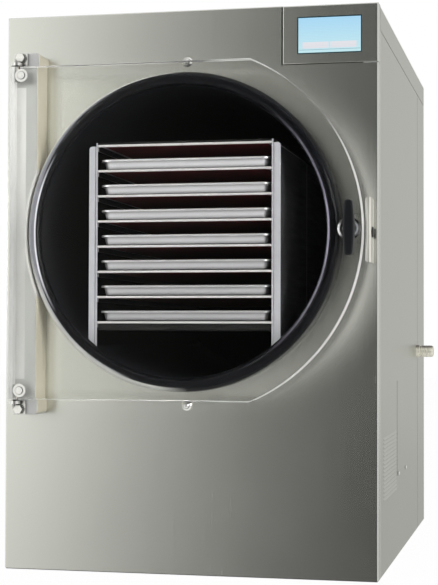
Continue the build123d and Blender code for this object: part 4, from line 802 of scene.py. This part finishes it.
class DRYER_OT_stage(bpy.types.Operator):
    """Pale floor, soft lights, reflector cards and the camera"""
    bl_idname = "dryer.stage"
    bl_label = "Set the Stage"

    def execute(self, context):
        studio = context.scene.dryer_studio
        scene = context.scene
        scene.view_settings.view_transform = "Standard"
        self.add_floor()
        self.add_card("front_card", (-0.5, -5.2, 1.2), (0, 1, 0), (9.0, 9.0), FRONT_CARD)
        self.add_card("side_card", (6.0, 9.0, 1.2), (0, -1, 0), (11.0, 22.0), SIDE_CARD)
        self.add_edge_glow()
        self.add_post_glow()
        self.add_lamp("key_light", (-2.6, -3.2, 1.9), (-0.1, -0.4, 0.7), 1.6, studio.key_power)
        self.add_lamp("fill_light", (0.4, -1.2, 3.4), (0.0, 0.0, 0.9), 2.4, studio.fill_power)
        self.add_lamp("side_light", (2.8, -2.6, 1.3), (0.2, -0.5, 0.7), 1.6, studio.side_power)
        # The small light on the left is the only one that the steel reflects.
        rim = self.add_lamp("rim_light", (-3.4, -0.95, 0.9), (0.0, -0.55, 0.7), 0.25, studio.rim_power)
        rim.visible_glossy = True
        self.set_room(scene, studio.sky)
        self.add_camera(scene, studio.lens)
        return {"FINISHED"}

    def finish_sheet(self, bm, name, material, hidden_from):
        """Turn a bmesh into a stage object that some kinds of ray don't meet."""
        mesh = bpy.data.meshes.new(name)
        bm.to_mesh(mesh)
        bm.free()
        mesh.materials.append(material)
        sheet = bpy.data.objects.new(name, mesh)
        bpy.context.scene.collection.objects.link(sheet)
        for ray in hidden_from:
            setattr(sheet, "visible_" + ray, False)

    def add_floor(self):
        """A matt floor that looks white to the camera and keeps the cabinet's soft shadow."""
        material, tree = new_material("matt_studio_floor")
        fleck = ranged(tree, noise(tree, 40.0), 0.0, 1.0)
        paint = add_node(tree, "BsdfPrincipled", {
            "Base Color": blended(tree, fleck, hex_rgb("#E9E9E7"), hex_rgb("#F2F2F0")), "Roughness": 0.8})
        glow = add_node(tree, "Emission", {"Color": (1, 1, 1, 1), "Strength": 1.0})
        path = add_node(tree, "LightPath").outputs
        seen = add_node(tree, "Math", {0: path["Is Camera Ray"], 1: path["Is Transmission Ray"]},
                        operation="MAXIMUM").outputs[0]
        share = add_node(tree, "Math", {0: seen, 1: 0.97}, operation="MULTIPLY").outputs[0]
        mixed = add_node(tree, "MixShader", {0: share, 1: paint.outputs[0], 2: glow.outputs[0]})
        add_node(tree, "OutputMaterial", {"Surface": mixed.outputs[0]})
        bm = bmesh.new()
        add_sheet(bm, FLOOR_SIZE, FLOOR_SIZE, (0, 0, 0), (0, 0, 1))
        self.finish_sheet(bm, "studio_floor", material, ("glossy",))

    def add_card(self, name, centre, direction, size, fades):
        """A shaded card that only the metal and the clear door reflect."""
        material, tree = new_material(name)
        glow = add_node(tree, "Emission", {"Color": CARD_WHITE, "Strength": faded(tree, fades)})
        add_node(tree, "OutputMaterial", {"Surface": glow.outputs[0]})
        bm = bmesh.new()
        add_sheet(bm, *size, centre, direction)
        self.finish_sheet(bm, name, material, ("camera", "diffuse", "shadow"))

    def add_glow(self, name, bm, fades):
        """Light thrown on the panel by bright edges: a shaded sheet that only the metal reflects."""
        material, tree = new_material(name)
        light = add_node(tree, "Emission", {"Color": CARD_WHITE, "Strength": faded(tree, fades)})
        clear = add_node(tree, "BsdfTransparent", {"Color": (1, 1, 1, 1)})
        both = add_node(tree, "AddShader", {0: light.outputs[0], 1: clear.outputs[0]})
        add_node(tree, "OutputMaterial", {"Surface": both.outputs[0]})
        self.finish_sheet(bm, name, material, ("camera", "diffuse", "shadow", "transmission"))

    def add_edge_glow(self):
        """The arc that the door's curved edge throws."""
        radii = EDGE_GLOW[0][1]
        turn = Matrix.Rotation(math.radians(-EDGE_GLOW_TURN / 2), 4, "Y")
        bm = bmesh.new()
        ends = [bm.verts.new(turn @ Vector((radius, 0.0, 0.0))) for radius in (radii[0][0], radii[-1][0])]
        bmesh.ops.spin(bm, geom=ends + [bm.edges.new(ends)], cent=(0, 0, 0), axis=(0, 1, 0),
                       angle=math.radians(EDGE_GLOW_TURN), steps=48)
        bmesh.ops.translate(bm, verts=bm.verts, vec=(0.0, EDGE_GLOW_Y, CHAMBER_AXIS[2]))
        self.add_glow("edge_glow", bm, EDGE_GLOW)

    def add_post_glow(self):
        """The band that the hinge post's pale side throws beside it."""
        bm = bmesh.new()
        add_sheet(bm, *POST_GLOW_SIZE, POST_GLOW_PLACE, (0, 1, 0))
        self.add_glow("post_glow", bm, POST_GLOW)

    def add_lamp(self, name, place, target, size, power):
        """A square soft light."""
        lamp = bpy.data.lights.new(name, "AREA")
        lamp.size = size
        lamp.energy = power
        lit = bpy.data.objects.new(name, lamp)
        lit.matrix_world = facing(place, Vector(place) - Vector(target))
        lit.visible_glossy = False
        bpy.context.scene.collection.objects.link(lit)
        return lit

    def set_room(self, scene, strength):
        """Even room light, seen white by the camera and in reflections."""
        world = bpy.data.worlds.new("studio_room")
        world.use_nodes = True
        tree = world.node_tree
        tree.nodes.clear()
        path = add_node(tree, "LightPath").outputs
        seen = path["Is Camera Ray"]
        for kind in ("Is Glossy Ray", "Is Transmission Ray"):
            seen = add_node(tree, "Math", {0: seen, 1: path[kind]}, operation="MAXIMUM").outputs[0]
        level = add_node(tree, "MapRange", {"Value": seen, "To Min": strength, "To Max": 1.0}).outputs[0]
        glow = add_node(tree, "Background", {"Color": (1, 1, 1, 1), "Strength": level})
        add_node(tree, "OutputWorld", {"Surface": glow.outputs[0]})
        scene.world = world

    def add_camera(self, scene, lens):
        """Camera to the right of the door, low, looking slightly up."""
        camera = bpy.data.cameras.new("studio_camera")
        camera.sensor_width = SENSOR
        camera.lens = lens
        stand = bpy.data.objects.new("studio_camera", camera)
        turn = Matrix.Rotation(math.radians(CAMERA_TURN), 4, "Z")
        tilt = Matrix.Rotation(math.radians(90.0 + CAMERA_RISE), 4, "X")
        roll = Matrix.Rotation(math.radians(CAMERA_ROLL), 4, "Z")
        stand.matrix_world = Matrix.Translation(CAMERA_PLACE) @ turn @ tilt @ roll
        scene.collection.objects.link(stand)
        scene.camera = stand


STEPS = (DRYER_OT_covers, DRYER_OT_chamber, DRYER_OT_rack, DRYER_OT_door, DRYER_OT_latch,
         DRYER_OT_display, DRYER_OT_cooling, DRYER_OT_electrics, DRYER_OT_stage)
GROUPS = (DryerSizes, DryerColours, DryerStudio)


class DRYER_PT_sidebar(bpy.types.Panel):
    """Sizes, colours and steps of the freeze dryer"""
    bl_idname = "DRYER_PT_sidebar"
    bl_label = "Freeze Dryer"
    bl_space_type = "VIEW_3D"
    bl_region_type = "UI"
    bl_category = "Freeze Dryer"

    def draw(self, context):
        for group in ("dryer_sizes", "dryer_colours", "dryer_studio"):
            values = getattr(context.scene, group)
            box = self.layout.box()
            for name in values.__annotations__:
                box.prop(values, name)
        for step in STEPS:
            self.layout.operator(step.bl_idname)


def register():
    for item in (*GROUPS, *STEPS, DRYER_PT_sidebar):
        bpy.utils.register_class(item)
    bpy.types.Scene.dryer_sizes = bpy.props.PointerProperty(type=DryerSizes)
    bpy.types.Scene.dryer_colours = bpy.props.PointerProperty(type=DryerColours)
    bpy.types.Scene.dryer_studio = bpy.props.PointerProperty(type=DryerStudio)


def unregister():
    del bpy.types.Scene.dryer_studio, bpy.types.Scene.dryer_colours, bpy.types.Scene.dryer_sizes
    for item in reversed((*GROUPS, *STEPS, DRYER_PT_sidebar)):
        bpy.utils.unregister_class(item)


def main():
    """Run every step in order."""
    register()
    for step in STEPS:
        group, name = step.bl_idname.split(".")
        getattr(getattr(bpy.ops, group), name)()


if __name__ == "__main__":
    main()
